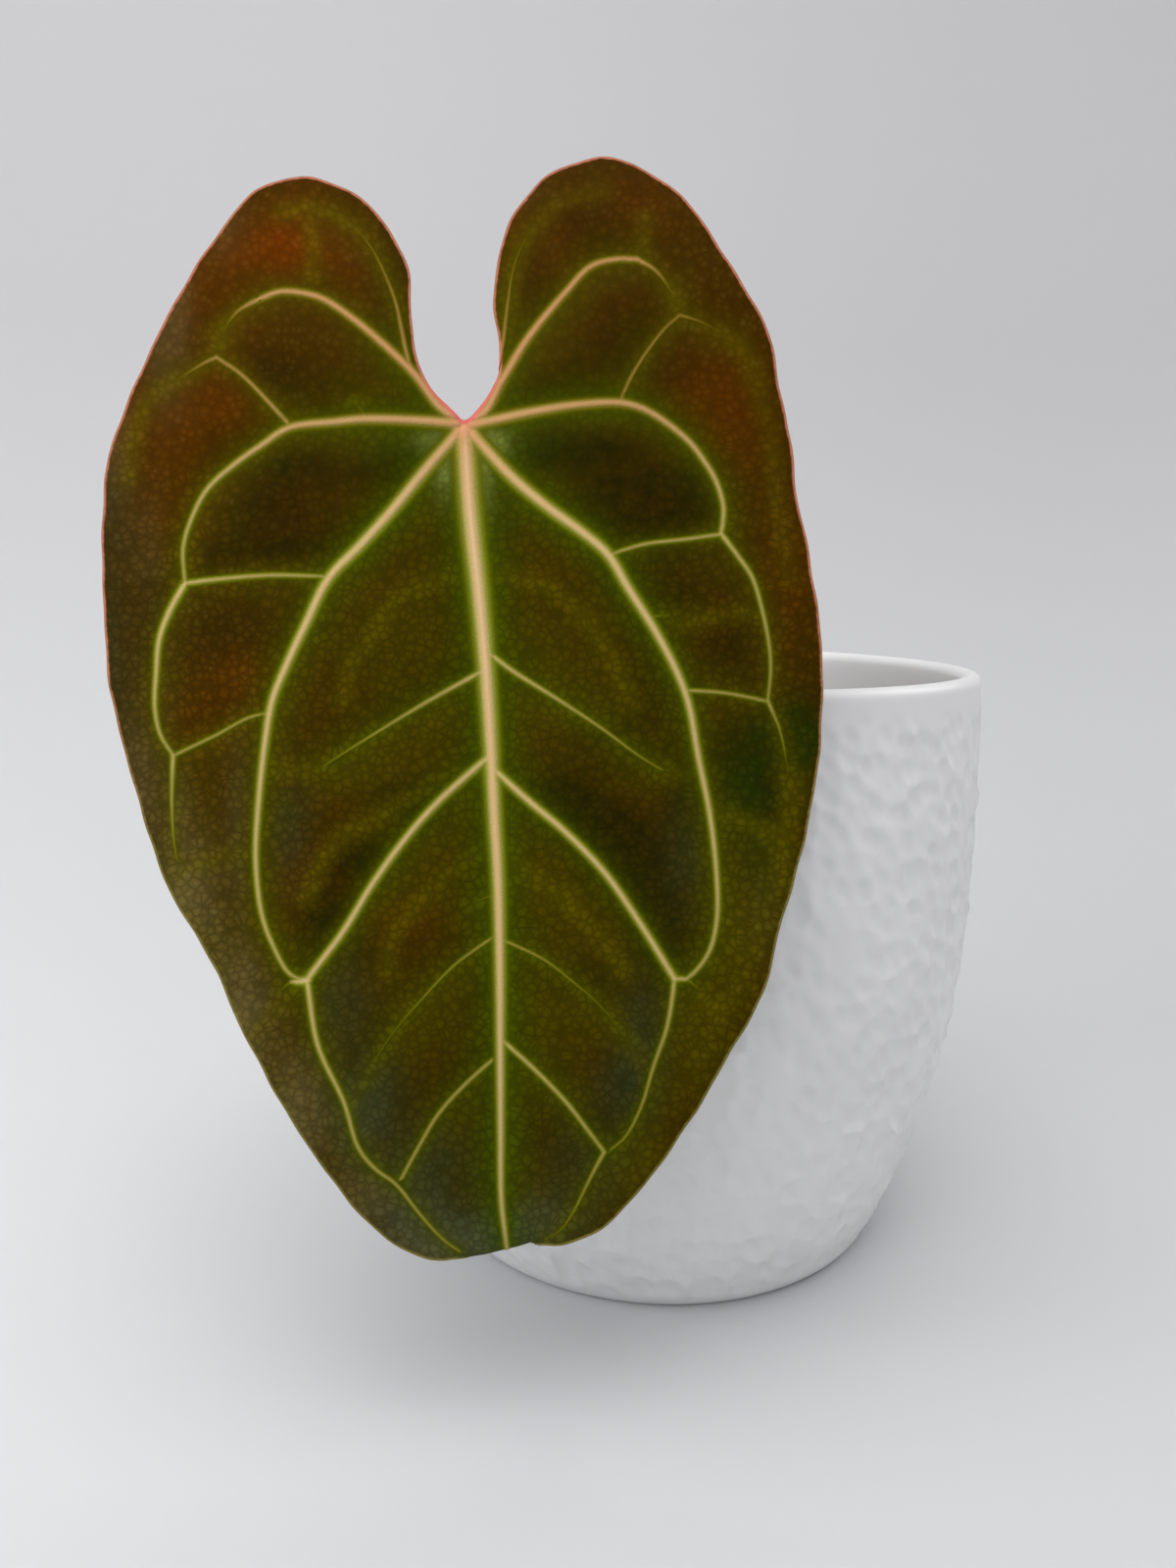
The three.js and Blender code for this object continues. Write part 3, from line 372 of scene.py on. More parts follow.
# [width at the start, width at the end, centre line]
VEINS = {
    "midrib": (2.7, 0.6, [
        (0, 0), (1.07, -15), (2.49, -28), (3.6, -40), (4.4, -52), (5, -64), (5.67, -76), (5.97, -90),
        (6.05, -104), (6.13, -117), (6.24, -128.8), (7, -136), (7.9, -149.2)]),
    "left_lobe": (1.4, 0.9, [
        (-0.5, 0.3), (-3.86, 2.52), (-8.32, 8.23), (-13.69, 13.36), (-18.66, 17.5), (-23.48, 20.6),
        (-27.31, 21.6), (-30.64, 21.7), (-33.96, 20.5)]),
    "left_lobe_end": (0.85, 0.1, [
        (-33.96, 20.5), (-37.36, 18.53), (-39.15, 16.37), (-39.95, 14.4)]),
    "left_lobe_inner": (0.75, 0.15, [
        (-8.8, 8.9), (-9.7, 12.4), (-10.4, 15.9), (-11.3, 20), (-13.2, 24.9), (-15.2, 28.8),
        (-17.6, 31.8), (-21, 34.1)]),
    "left_shoulder": (1.5, 0.6, [
        (0, -0.3), (-2.7, 0.03), (-9, 0.45), (-16.59, 0.6), (-21.57, 0.12), (-29.05, -0.87),
        (-33.52, -3.76), (-37.91, -6.85), (-42.41, -10.93), (-44.9, -15.42), (-46.5, -20.71),
        (-46.3, -26.1)]),
    "left_shoulder_lower": (1.05, 0.6, [
        (-46.2, -26.6), (-48.83, -31.4), (-50.47, -35.9), (-51, -41.8), (-51.2, -47.27), (-50.3, -51.73),
        (-48.3, -55)]),
    "left_shoulder_end": (0.75, 0.25, [
        (-48.2, -55.2), (-48.4, -62.83), (-48.1, -68.77), (-47.5, -72.6)]),
    "left_fork": (0.7, 0.6, [
        (-29.2, 0), (-33.14, 4.28), (-37.08, 8.15), (-41.02, 10.83)]),
    "left_fork_end": (0.65, 0.15, [
        (-41.02, 10.83), (-42.89, 9.94), (-45.66, 8.25), (-47.93, 6.96)]),
    "left_main": (1.7, 0.65, [
        (0, -0.6), (-6.1, -7.5), (-12.11, -14.79), (-17.07, -20.24), (-22.43, -25.88), (-26.27, -33.54),
        (-29.3, -39.99), (-31.73, -46.04), (-32.91, -52.89), (-33.99, -62.74), (-34.47, -72.61),
        (-33.49, -81.46), (-31.52, -86.91), (-28.86, -91.39), (-26.1, -92.6)]),
    "left_main_lower": (0.9, 0.42, [
        (-26, -92.4), (-24.14, -103.36), (-19.9, -112.6), (-17.42, -120.32), (-14.57, -123.81),
        (-11.25, -126.27), (-7.37, -131.11), (-3.48, -135.36), (-0.7, -137.4)]),
    "left_rung_upper": (0.6, 0.8, [
        (-23.1, -25.5), (-31.6, -25.3), (-39, -25.8), (-46.2, -26.6)]),
    "left_rung_lower": (0.5, 0.55, [
        (-32.5, -48.1), (-35.72, -48.97), (-41.25, -51.93), (-48.17, -55.2)]),
    "left_side_1": (0.85, 0.25, [
        (3.5, -41), (-1.88, -43.95), (-6.55, -46.59), (-14.03, -51.14), (-19.4, -54.48), (-23.38, -57.03)]),
    "left_side_2": (1.1, 1, [
        (3.9, -55.6), (-4.16, -62.8), (-9.52, -68.8), (-14.94, -76.23), (-20.12, -84.59), (-26, -92.3)]),
    "left_side_3": (0.5, 0.1, [
        (4.7, -85.4), (-1.69, -90.11), (-7.48, -96.22), (-11.72, -101.18), (-15.02, -106.48),
        (-16.62, -110.28)]),
    "left_side_4": (0.6, 0.55, [
        (4.8, -105.6), (-0.08, -110.04), (-4.36, -114.88), (-7.53, -120.22), (-10.41, -125.46)]),
    "right_lobe": (1.4, 0.85, [
        (0.5, 0), (3.34, 1.7), (6.29, 6.91), (10.62, 13.96), (16.75, 21.42), (21.08, 25.91),
        (25.29, 27.1), (28.7, 27.1)]),
    "right_lobe_end": (0.8, 0.1, [
        (28.7, 27.1), (31.7, 25.33), (33.9, 22.57), (35.3, 19.6)]),
    "right_lobe_inner": (0.75, 0.12, [
        (5.8, 8.6), (6.6, 14), (7.2, 19), (8, 24.4), (9.2, 28.3), (11.2, 32)]),
    "right_shoulder": (1.5, 0.75, [
        (0.3, -0.5), (5.02, 0.48), (12.04, 1.95), (19.03, 3), (26, 3.3), (29.77, 2.3), (33.74, -0.1),
        (37.61, -3.4), (40.21, -6.88), (41.9, -9.86), (43.06, -13.96), (42.93, -16.88), (42.6, -18.3)]),
    "right_shoulder_lower": (0.78, 0.5, [
        (42.6, -18.3), (45.6, -22.3), (47.8, -25.6), (49.3, -30.3), (50.6, -36.6), (50.9, -41.1),
        (50.4, -46.1)]),
    "right_shoulder_end": (0.6, 0.12, [
        (50.4, -46.1), (52.29, -50.62), (53.37, -55.34), (53.76, -58.46)]),
    "right_fork": (0.55, 0.45, [
        (26.05, 3.9), (27.87, 7.76), (30.48, 11.91), (33.4, 15.66), (35.82, 17.82)]),
    "right_fork_end": (0.5, 0.12, [
        (35.7, 17.9), (39.5, 16.6), (43.3, 14.4)]),
    "right_main": (1.7, 0.65, [
        (0.6, -1), (8.17, -9.18), (14.03, -14.06), (19.98, -18.4), (23.86, -21.8), (27.19, -27.28),
        (31.77, -34.55), (35.32, -41.31), (37.26, -46.53), (38.9, -55.36), (40.8, -64.89), (41.9, -74.46),
        (42, -82.22), (40.79, -87.54), (38.56, -90.82), (36.9, -92.2)]),
    "right_main_lower": (0.75, 0.35, [
        (34.9, -92.1), (34.77, -93.92), (33.7, -100.3), (31.5, -106.7), (29.4, -113.5), (26.8, -118.4),
        (24, -120.8)]),
    "right_rung_upper": (0.6, 0.65, [
        (24.5, -21.8), (29.83, -20.2), (37.07, -19.3), (42.6, -18.5)]),
    "right_rung_lower": (0.6, 0.55, [
        (37.1, -44.4), (43.03, -44.8), (50.46, -46.2)]),
    "right_side_1": (0.85, 0.3, [
        (4.4, -38.4), (8.3, -41.3), (16.1, -46.2), (23.3, -51), (28.7, -55), (32.9, -57.6)]),
    "right_side_2": (1.1, 1, [
        (4.9, -57.4), (10.65, -62.62), (16.8, -67.8), (23.31, -74.55), (29.17, -82.91), (34.9, -92.1)]),
    "right_side_3": (0.5, 0.1, [
        (6.6, -85.8), (13.28, -89.03), (18.05, -92.66), (22.33, -96.4), (26.1, -100.93), (27.68, -103.26)]),
    "right_side_4": (0.75, 0.6, [
        (6.6, -102.6), (11.7, -107.2), (17.1, -112.8), (20.8, -117.6), (23.3, -120.9)]),
    "right_side_4_lower": (0.6, 0.2, [
        (23.3, -120.9), (20.8, -125.6), (18.1, -131), (16, -133.9), (13.4, -135.4)]),
    "spur_left_shoulder": (0.4, 0.05, [
        (-16.4, 1), (-17.1, 2.2), (-18.6, 3.9)]),
    "spur_midrib_low": (0.35, 0.05, [
        (5.2, -78.5), (3.4, -78.8), (0.6, -80.6)]),
    "spur_right_main": (0.35, 0.05, [
        (39.5, -57.2), (38.6, -57.3), (37.2, -57.8)]),
    "spur_right_main_up": (0.35, 0.05, [
        (31.2, -32.2), (33, -32), (35.6, -32.4)]),
    "spur_left_corner": (1.25, 0.8, [
        (-26.1, -92.5), (-27.2, -92.7), (-28.3, -92.7)]),
    "spur_right_corner": (0.9, 0.7, [
        (34.9, -92.2), (36, -92.2), (36.9, -92.2)]),
    "spur_right_tail": (0.4, 0.1, [
        (36.9, -92.2), (38.2, -93.2), (39.4, -94.2)]),
    "spur_left_tail": (0.4, 0.1, [
        (-28.3, -92.7), (-29.6, -93.4), (-30.6, -94.4)]),
}
MARGIN_STEP, VEIN_STEP = 0.4, 0.5
MARGIN_WAVE, MARGIN_SEED = 0.055, 12
MARGIN_WAVES = (29, 47, 71)  # how many of each run round the blade


def uneven_margin(margin):
    """The margin with small shifts square to it: the sum of a few sine waves, times their height."""
    random = np.random.default_rng(MARGIN_SEED)
    along = np.roll(margin, -1, axis=0) - np.roll(margin, 1, axis=0)
    across = np.column_stack([along[:, 1], -along[:, 0]]) / np.linalg.norm(along, axis=1)[:, None]
    turn = 2 * np.pi * np.arange(len(margin)) / len(margin)
    starts = random.uniform(0, 2 * np.pi, len(MARGIN_WAVES))
    shift = sum(np.sin(number * turn + start) for number, start in zip(MARGIN_WAVES, starts))
    return margin + MARGIN_WAVE * shift[:, None] * across


MARGIN = uneven_margin(smooth_line(OUTLINE, MARGIN_STEP, closed=True)[:-1])
VEIN_LINES = {name: smooth_line(line, VEIN_STEP) for name, (_, _, line) in VEINS.items()}
VEIN_HALVES = {
    name: np.linspace(VEINS[name][0] / 2, VEINS[name][1] / 2, len(line)) for name, line in VEIN_LINES.items()
}
print("margin", round(len(MARGIN) * MARGIN_STEP), "mm round;", len(VEINS), "veins")

# %% Distances in the plan
VEIN_END_REACH = (0.3, 1.3)  # a vein's end is rounded over this plus this share of its half width, in mm
CHUNK = 4000


def nearest_on(line, points):
    """For each point, the number of the line's nearest point and the distance to it."""
    nearest = np.empty(len(points), int)
    distance = np.empty(len(points))
    for start in range(0, len(points), CHUNK):
        part = points[start : start + CHUNK]
        square = (part[:, None, 0] - line[None, :, 0]) ** 2 + (part[:, None, 1] - line[None, :, 1]) ** 2
        nearest[start : start + CHUNK] = square.argmin(axis=1)
        distance[start : start + CHUNK] = np.sqrt(square.min(axis=1))
    return nearest, distance


def measure_veins(points):
    """Three tables, point by vein: the distance to one side of the vein's line (left is plus), the half width
    of the vein there, which turns negative past its ends, and the plain distance."""
    side, half, away = (np.empty((len(points), len(VEINS))) for _ in range(3))
    for column, (name, line) in enumerate(VEIN_LINES.items()):
        place, _ = nearest_on(line, points)
        along = np.gradient(line, axis=0)
        along /= np.linalg.norm(along, axis=1)[:, None]
        gap = points - line[place]
        forward = (gap * along[place]).sum(axis=1)
        across = along[place, 0] * gap[:, 1] - along[place, 1] * gap[:, 0]
        past = np.where(place == len(line) - 1, np.maximum(forward, 0), 0)
        past = np.where(place == 0, np.maximum(-forward, 0), past)
        side[:, column] = across
        full = VEIN_HALVES[name][place]
        half[:, column] = full * (1 - (past / (VEIN_END_REACH[0] + VEIN_END_REACH[1] * full)) ** 2)
        away[:, column] = np.hypot(across, past)
    return side, half, away


# %% [markdown]
# ## The blade as a ladder
#
# Each half of the blade is a ladder. One side piece runs from the top of the lobe down its inner margin
# to the notch and on down the midrib, the other down the outer margin, and both end at the tip. A few
# pairs of points that face each other keep the rungs square to the midrib. A point is
# P(s, t) = (1 - t) inner(s) + t outer(s), and the top rung is bent onto the margin of the lobe, which
# fades out over the rungs below it. The grid follows the outline, so the margin is smooth at any size.

# %% Rungs of the two halves
LOBE_ROWS, MIDRIB_ROWS, HALF_COLUMNS = 58, 222, 54
EXTRA_LINES = (0.15, 0.45)  # extra columns and rows close to the margin, in shares of a cell
TOP_BEND_REACH = 22.0
# For each half: which way the outer margin runs in OUTLINE, the two ends of the lobe's top, and the pairs.
HALVES = {
    "right": (1, (12, 39.3), (33, 40.3), [
        ((5.7, 26.5), (44.5, 26)), ((5, 19.2), (50, 16)), ((6, 10), (52.3, 5)), ((0, 0.3), (55.5, -14)),
        ((3.1, -31.7), (59.5, -44.4)), ((5.6, -73.6), (54.3, -78)), ((6.1, -105), (43, -107)),
        ((6.2, -122.8), (25.2, -131.6)), ((6.8, -132), (12.8, -136.3)), ((7.4, -138), (11.2, -139))]),
    "left": (-1, (-17.4, 37.5), (-34.8, 38.5), [
        ((-9.4, 25.8), (-44.5, 26)), ((-8.6, 16.7), (-50.5, 14.8)), ((0, 0.3), (-59.1, -7)),
        ((3.1, -31.7), (-58.3, -45.7)), ((5.6, -73.6), (-49.6, -75.7)), ((6.1, -105), (-32, -109.5)),
        ((6.2, -122.8), (-16.5, -131.5)), ((6.6, -132), (-3.7, -138.9)), ((7, -136.5), (-0.5, -138.8)),
        ((7.4, -140), (1.1, -139.9))]),
}


def margin_stretch(start, end, way):
    """The margin from the place nearest to start to the place nearest to end, forwards or backwards."""
    first, last = nearest_on(MARGIN, np.array([start, end], float))[0]
    count = (way * (last - first)) % len(MARGIN)
    return MARGIN[(first + way * np.arange(count + 1)) % len(MARGIN)]


def crowded(cells):
    """Shares from 0 to 1 in equal cells, with the extra ones close to both ends."""
    near = np.array(EXTRA_LINES)
    return np.concatenate([[0], near, np.arange(1, cells), cells - near[::-1], [cells]]) / cells


MIDRIB_POINTS = [NOTCH, *VEINS["midrib"][2][1:], TIP]


def half_grid(way, lobe_inside, lobe_outside, pairs):
    """One half as a grid of (u, v), from its two side pieces and the bend of its top rung."""
    down_margin = margin_stretch(lobe_inside, NOTCH, -way)
    inner = np.concatenate([down_margin[:-1], smooth_line(MIDRIB_POINTS, MARGIN_STEP)])
    outer = margin_stretch(lobe_outside, TIP, way)
    inner_reach, outer_reach = lengths_along(inner), lengths_along(outer)
    notch = inner_reach[len(down_margin) - 1]
    inner_ties = inner_reach[nearest_on(inner, np.array([pair[0] for pair in pairs], float))[0]]
    outer_ties = outer_reach[nearest_on(outer, np.array([pair[1] for pair in pairs], float))[0]]
    at = np.concatenate([
        notch * crowded(LOBE_ROWS)[: LOBE_ROWS + len(EXTRA_LINES)],
        np.linspace(notch, inner_reach[-1], MIDRIB_ROWS),
    ])
    outer_at = np.interp(at, [0, *inner_ties, inner_reach[-1]], [0, *outer_ties, outer_reach[-1]])
    t = crowded(HALF_COLUMNS)[:, None]
    left, right = at_lengths(inner, at)[:, None], at_lengths(outer, outer_at)[:, None]
    top = margin_stretch(lobe_inside, lobe_outside, way)
    bend = at_lengths(top, t[:, 0] * lengths_along(top)[-1]) - (1 - t) * top[0] - t * top[-1]
    fade = np.clip(1 - at / TOP_BEND_REACH, 0, 1)[:, None, None] ** 2
    return (1 - t) * left + t * right + fade * bend


plan_points, plan_quads = [], []
for way, inside, outside, pairs in HALVES.values():
    grid = half_grid(way, inside, outside, pairs)
    quads = grid_faces(*grid.shape[:2]) + sum(len(points) for points in plan_points)
    # On the right half a rung runs away from the midrib to the right, so its cells are turned over.
    plan_quads.append(quads[:, ::-1] if way == 1 else quads)
    plan_points.append(grid.reshape(-1, 2))
plan_points = np.concatenate(plan_points)
kept, plan_quads, plan_triangles = welded(plan_points, np.concatenate(plan_quads))
plan = plan_points[kept]
corner = plan[plan_quads]
diagonals = corner[:, 2] - corner[:, 0], corner[:, 3] - corner[:, 1]
areas = (diagonals[0][:, 0] * diagonals[1][:, 1] - diagonals[0][:, 1] * diagonals[1][:, 0]) / 2
print(len(plan), "points in the plan; cell areas", areas.min().round(3), "to", areas.max().round(2), "mm2")

# %% [markdown]
# ## The blade's form
#
# The blade isn't flat. It folds a little along the midrib, its sides and lobes lean back, its margin
# waves, and the panels between the veins swell forward like a quilt. The tip rolls back under the blade.
# All of this is one formula for how far a point lies behind the plane. A point moves along its line of
# sight when it moves back, so the outline still looks as it was drawn.

# %% Form of the blade
JOIN = (-34.7, -76.2, 176.1)  # the bottom of the notch, in the pot's frame
LEAN = 80.0
SIGHT = (20.6, -59.8, 195.0)  # the viewer's eye in the blade's own axes
KEEL, KEEL_WIDTH = 1.8, 10.0
BOW, BOW_REACH = 6.2, 45.0  # the midrib's swing to the right, and over how much height
HALF_WIDTH = 58.0
SIDE_FALL, SIDE_POWER = 4.5, 2.2
LOBE_FALL, LOBE_REACH = 7.0, 44.0
END_FALL, END_START, END_REACH = 5.0, -90.0, 45.0
WAVE, WAVE_PITCH, WAVE_SHIFT = 1.1, 9.0, 2
PUFF, PUFF_REACH = 0.9, 4.5
ROLL_PLACE, ROLL_SLOPE = (0.3, -134.9), 0.24
ROLL_RADIUS, ROLL_ANGLE = 3.2, 2.7
ROLL_SIDES = ((-1.8, 1.1), (11.0, 12.6))
RIPPLE, RIPPLE_PITCHES, RIPPLE_SEED = 0.13, (17.0, 11.0, 7.5, 6.0), 7
TO_VIEWER = (0.6, 0.9)  # how far the surface has to face the viewer to keep to the line of sight
BLADE_AXES = turned("z", TURN_LEFT) @ turned("x", LEAN) @ turned("z", TILT)


def ripples(u, v, pitches, seed):
    """A sum of sine waves, one for each pitch, that run in random directions and start anywhere."""
    random = np.random.default_rng(seed)
    total = np.zeros_like(u)
    for pitch in pitches:
        direction, start = random.uniform(0, 2 * np.pi, 2)
        total += np.sin(2 * np.pi * (u * math.cos(direction) + v * math.sin(direction)) / pitch + start)
    return total / math.sqrt(len(pitches))


def fall_back(u, v, near):
    """How far the middle of the blade lies behind its plane: keel + sides + lobes + lower end + waves -
    swell. near is the distance to the nearest vein."""
    side = u - BOW * (1 - np.exp(np.minimum(v, 0) / BOW_REACH))
    reach = np.abs(side) / HALF_WIDTH
    keel = KEEL * np.exp(-((side / KEEL_WIDTH) ** 2))
    lobes = LOBE_FALL * (np.maximum(v, 0) / LOBE_REACH) ** 2
    end = END_FALL * (np.maximum(END_START - v, 0) / END_REACH) ** 2
    wave = WAVE * reach**2 * np.sin(v / WAVE_PITCH + WAVE_SHIFT * np.sign(side))
    swell = 1 - np.exp(-((near / PUFF_REACH) ** 2))
    uneven = RIPPLE * swell * ripples(u, v, RIPPLE_PITCHES, RIPPLE_SEED)
    return keel + SIDE_FALL * reach**SIDE_POWER + lobes + end + wave - PUFF * swell + uneven


def blade_middle(u, v, near):
    """The middle of the blade in its own axes. Below the roll's line the surface runs round a circle and then
    straight on. Each point moves out from the middle of the view by the share that it lies further back."""
    below = ROLL_PLACE[1] + ROLL_SLOPE * (u - ROLL_PLACE[0]) - v
    below = np.maximum(below / math.hypot(1, ROLL_SLOPE), 0)
    angle = np.minimum(below / ROLL_RADIUS, ROLL_ANGLE)
    straight = below - angle * ROLL_RADIUS
    drop = ROLL_RADIUS * np.sin(angle) + straight * np.cos(angle)
    behind = ROLL_RADIUS * (1 - np.cos(angle)) + straight * np.sin(angle)
    share = smoothstep(*ROLL_SIDES[0], u) * (1 - smoothstep(*ROLL_SIDES[1], u))
    away = fall_back(u, v, near) + share * behind
    spread = 1 + away / SIGHT[2]
    right = SIGHT[0] + (u - SIGHT[0]) * spread
    up = SIGHT[1] + (v + share * (below - drop) - SIGHT[1]) * spread
    return np.column_stack([right, up, -away])


def blade_facing(u, v, near, reach=0.2):
    """The unit direction that the blade faces in: its slope across times its slope up."""
    across = blade_middle(u + reach, v, near) - blade_middle(u - reach, v, near)
    up = blade_middle(u, v + reach, near) - blade_middle(u, v - reach, near)
    normal = np.cross(across, up)
    return normal / np.linalg.norm(normal, axis=1)[:, None]


def raised(middle, facing, height):
    """Points at a height over the blade's middle. Where the blade faces the viewer they keep to the line of
    sight through the middle, at the depth of middle + height x facing, so they look as they were drawn."""
    points = middle + height[:, None] * facing
    depth = (SIGHT[2] - points[:, 2]) / (SIGHT[2] - middle[:, 2])
    seen = np.array(SIGHT[:2]) + (middle[:, :2] - SIGHT[:2]) * depth[:, None]
    share = smoothstep(*TO_VIEWER, facing[:, 2])[:, None]
    points[:, :2] += share * (seen - points[:, :2])
    return points


def in_pot_frame(points):
    """Points from the blade's axes to the pot's frame."""
    return points @ BLADE_AXES.T + np.array(JOIN)


side, half, away = measure_veins(plan)
near = away.min(axis=1)
margin_gap = nearest_on(MARGIN, plan)[1]
print("nearest vein at most", near.max().round(1), "mm away; margin at most", margin_gap.max().round(1))

# %% [markdown]
# ## Two faces and a rim
#
# A leaf is thin but it is a body: an upper skin, a lower skin and a rounded rim between them. The Solidify
# modifier would do it, but then the two skins couldn't have their own colours by their own formula. So
# the middle surface is moved half the thickness both ways, and a strip of faces closes the rim.

# %% Blade mesh
THICKNESS = 0.8
MARGIN_THINNING = 0.4  # the share of the thickness that is gone at the margin
THINNING_REACH = 2.5
RIM_BULGE = 0.1


def rim_of(faces, count):
    """The edges that only one face has, as pairs of corners in that face's order."""
    edges = [np.stack([corners, np.roll(corners, -1, axis=1)], axis=-1).reshape(-1, 2) for corners in faces]
    edges = np.concatenate(edges)
    key, turned_key = edges[:, 0] * count + edges[:, 1], edges[:, 1] * count + edges[:, 0]
    return edges[~np.isin(key, turned_key)]


middle = blade_middle(plan[:, 0], plan[:, 1], near)
facing = blade_facing(plan[:, 0], plan[:, 1], near)
thin = 1 - MARGIN_THINNING * (1 - smoothstep(0, THINNING_REACH, margin_gap))
half_thick = THICKNESS / 2 * thin
count = len(plan)
rim = rim_of([plan_quads, plan_triangles], count)
after, before = np.zeros(count, int), np.zeros(count, int)
after[rim[:, 0]] = rim[:, 1]
before[rim[:, 1]] = rim[:, 0]
loop = rim[:, 0]
outward = np.cross(middle[after[loop]] - middle[before[loop]], facing[loop])
outward /= np.linalg.norm(outward, axis=1)[:, None]
rim_number = np.zeros(count, int)
rim_number[loop] = 2 * count + np.arange(len(loop))
skins = [raised(middle, facing, way * half_thick) for way in (1, -1)]
blade_points = np.concatenate([*skins, middle[loop] + RIM_BULGE * outward])
blade_plan = np.concatenate([np.arange(count), np.arange(count), loop])
a, b = rim.T
fronts = [plan_quads, plan_triangles]
backs = [faces[:, ::-1] + count for faces in fronts]
rims = [
    np.column_stack([b, a, rim_number[a], rim_number[b]]),
    np.column_stack([rim_number[b], rim_number[a], a + count, b + count]),
]
blade_finish = np.repeat([0, 1, 2], [sum(map(len, faces)) for faces in (fronts, backs, rims)])
print("rim of", len(rim), "edges")

# %% [markdown]
# ## What the colours need to know
#
# The veins are pale lines with soft green edges, some only a third of a millimetre wide. A colour stored
# at each mesh point would blur them, as the points are about 0.7 mm apart. A distance doesn't blur: it
# changes evenly from point to point. So each face keeps two things of its three nearest veins: the distance
# to the side, as a share of how far the vein's colour reaches, and how pale the vein is. The material turns
# them into lines that are sharp at any size. What is soft anyway, such as the green glow round the veins and
# the broad tints, is stored at the points.

# %% Distances and tints on the mesh
FACE_VEINS = 3
SIGN_JUMP = 1.7  # no face is this wide, so side distances that differ more have changed sign
GLOW_STRENGTH, GLOW_REACH = 0.62, (0.5, 0.9)
GLOW_LOBES = (2, 25, 0.5)  # over these heights the glow loses this share
OUTER_BAND = (0.3, 0.85)  # where the outer colours set in, as shares of the half width
OUTER_LOBES, OUTER_LOBES_TOP = 0.35, 25
LOBES_FADE = (-22, 14)
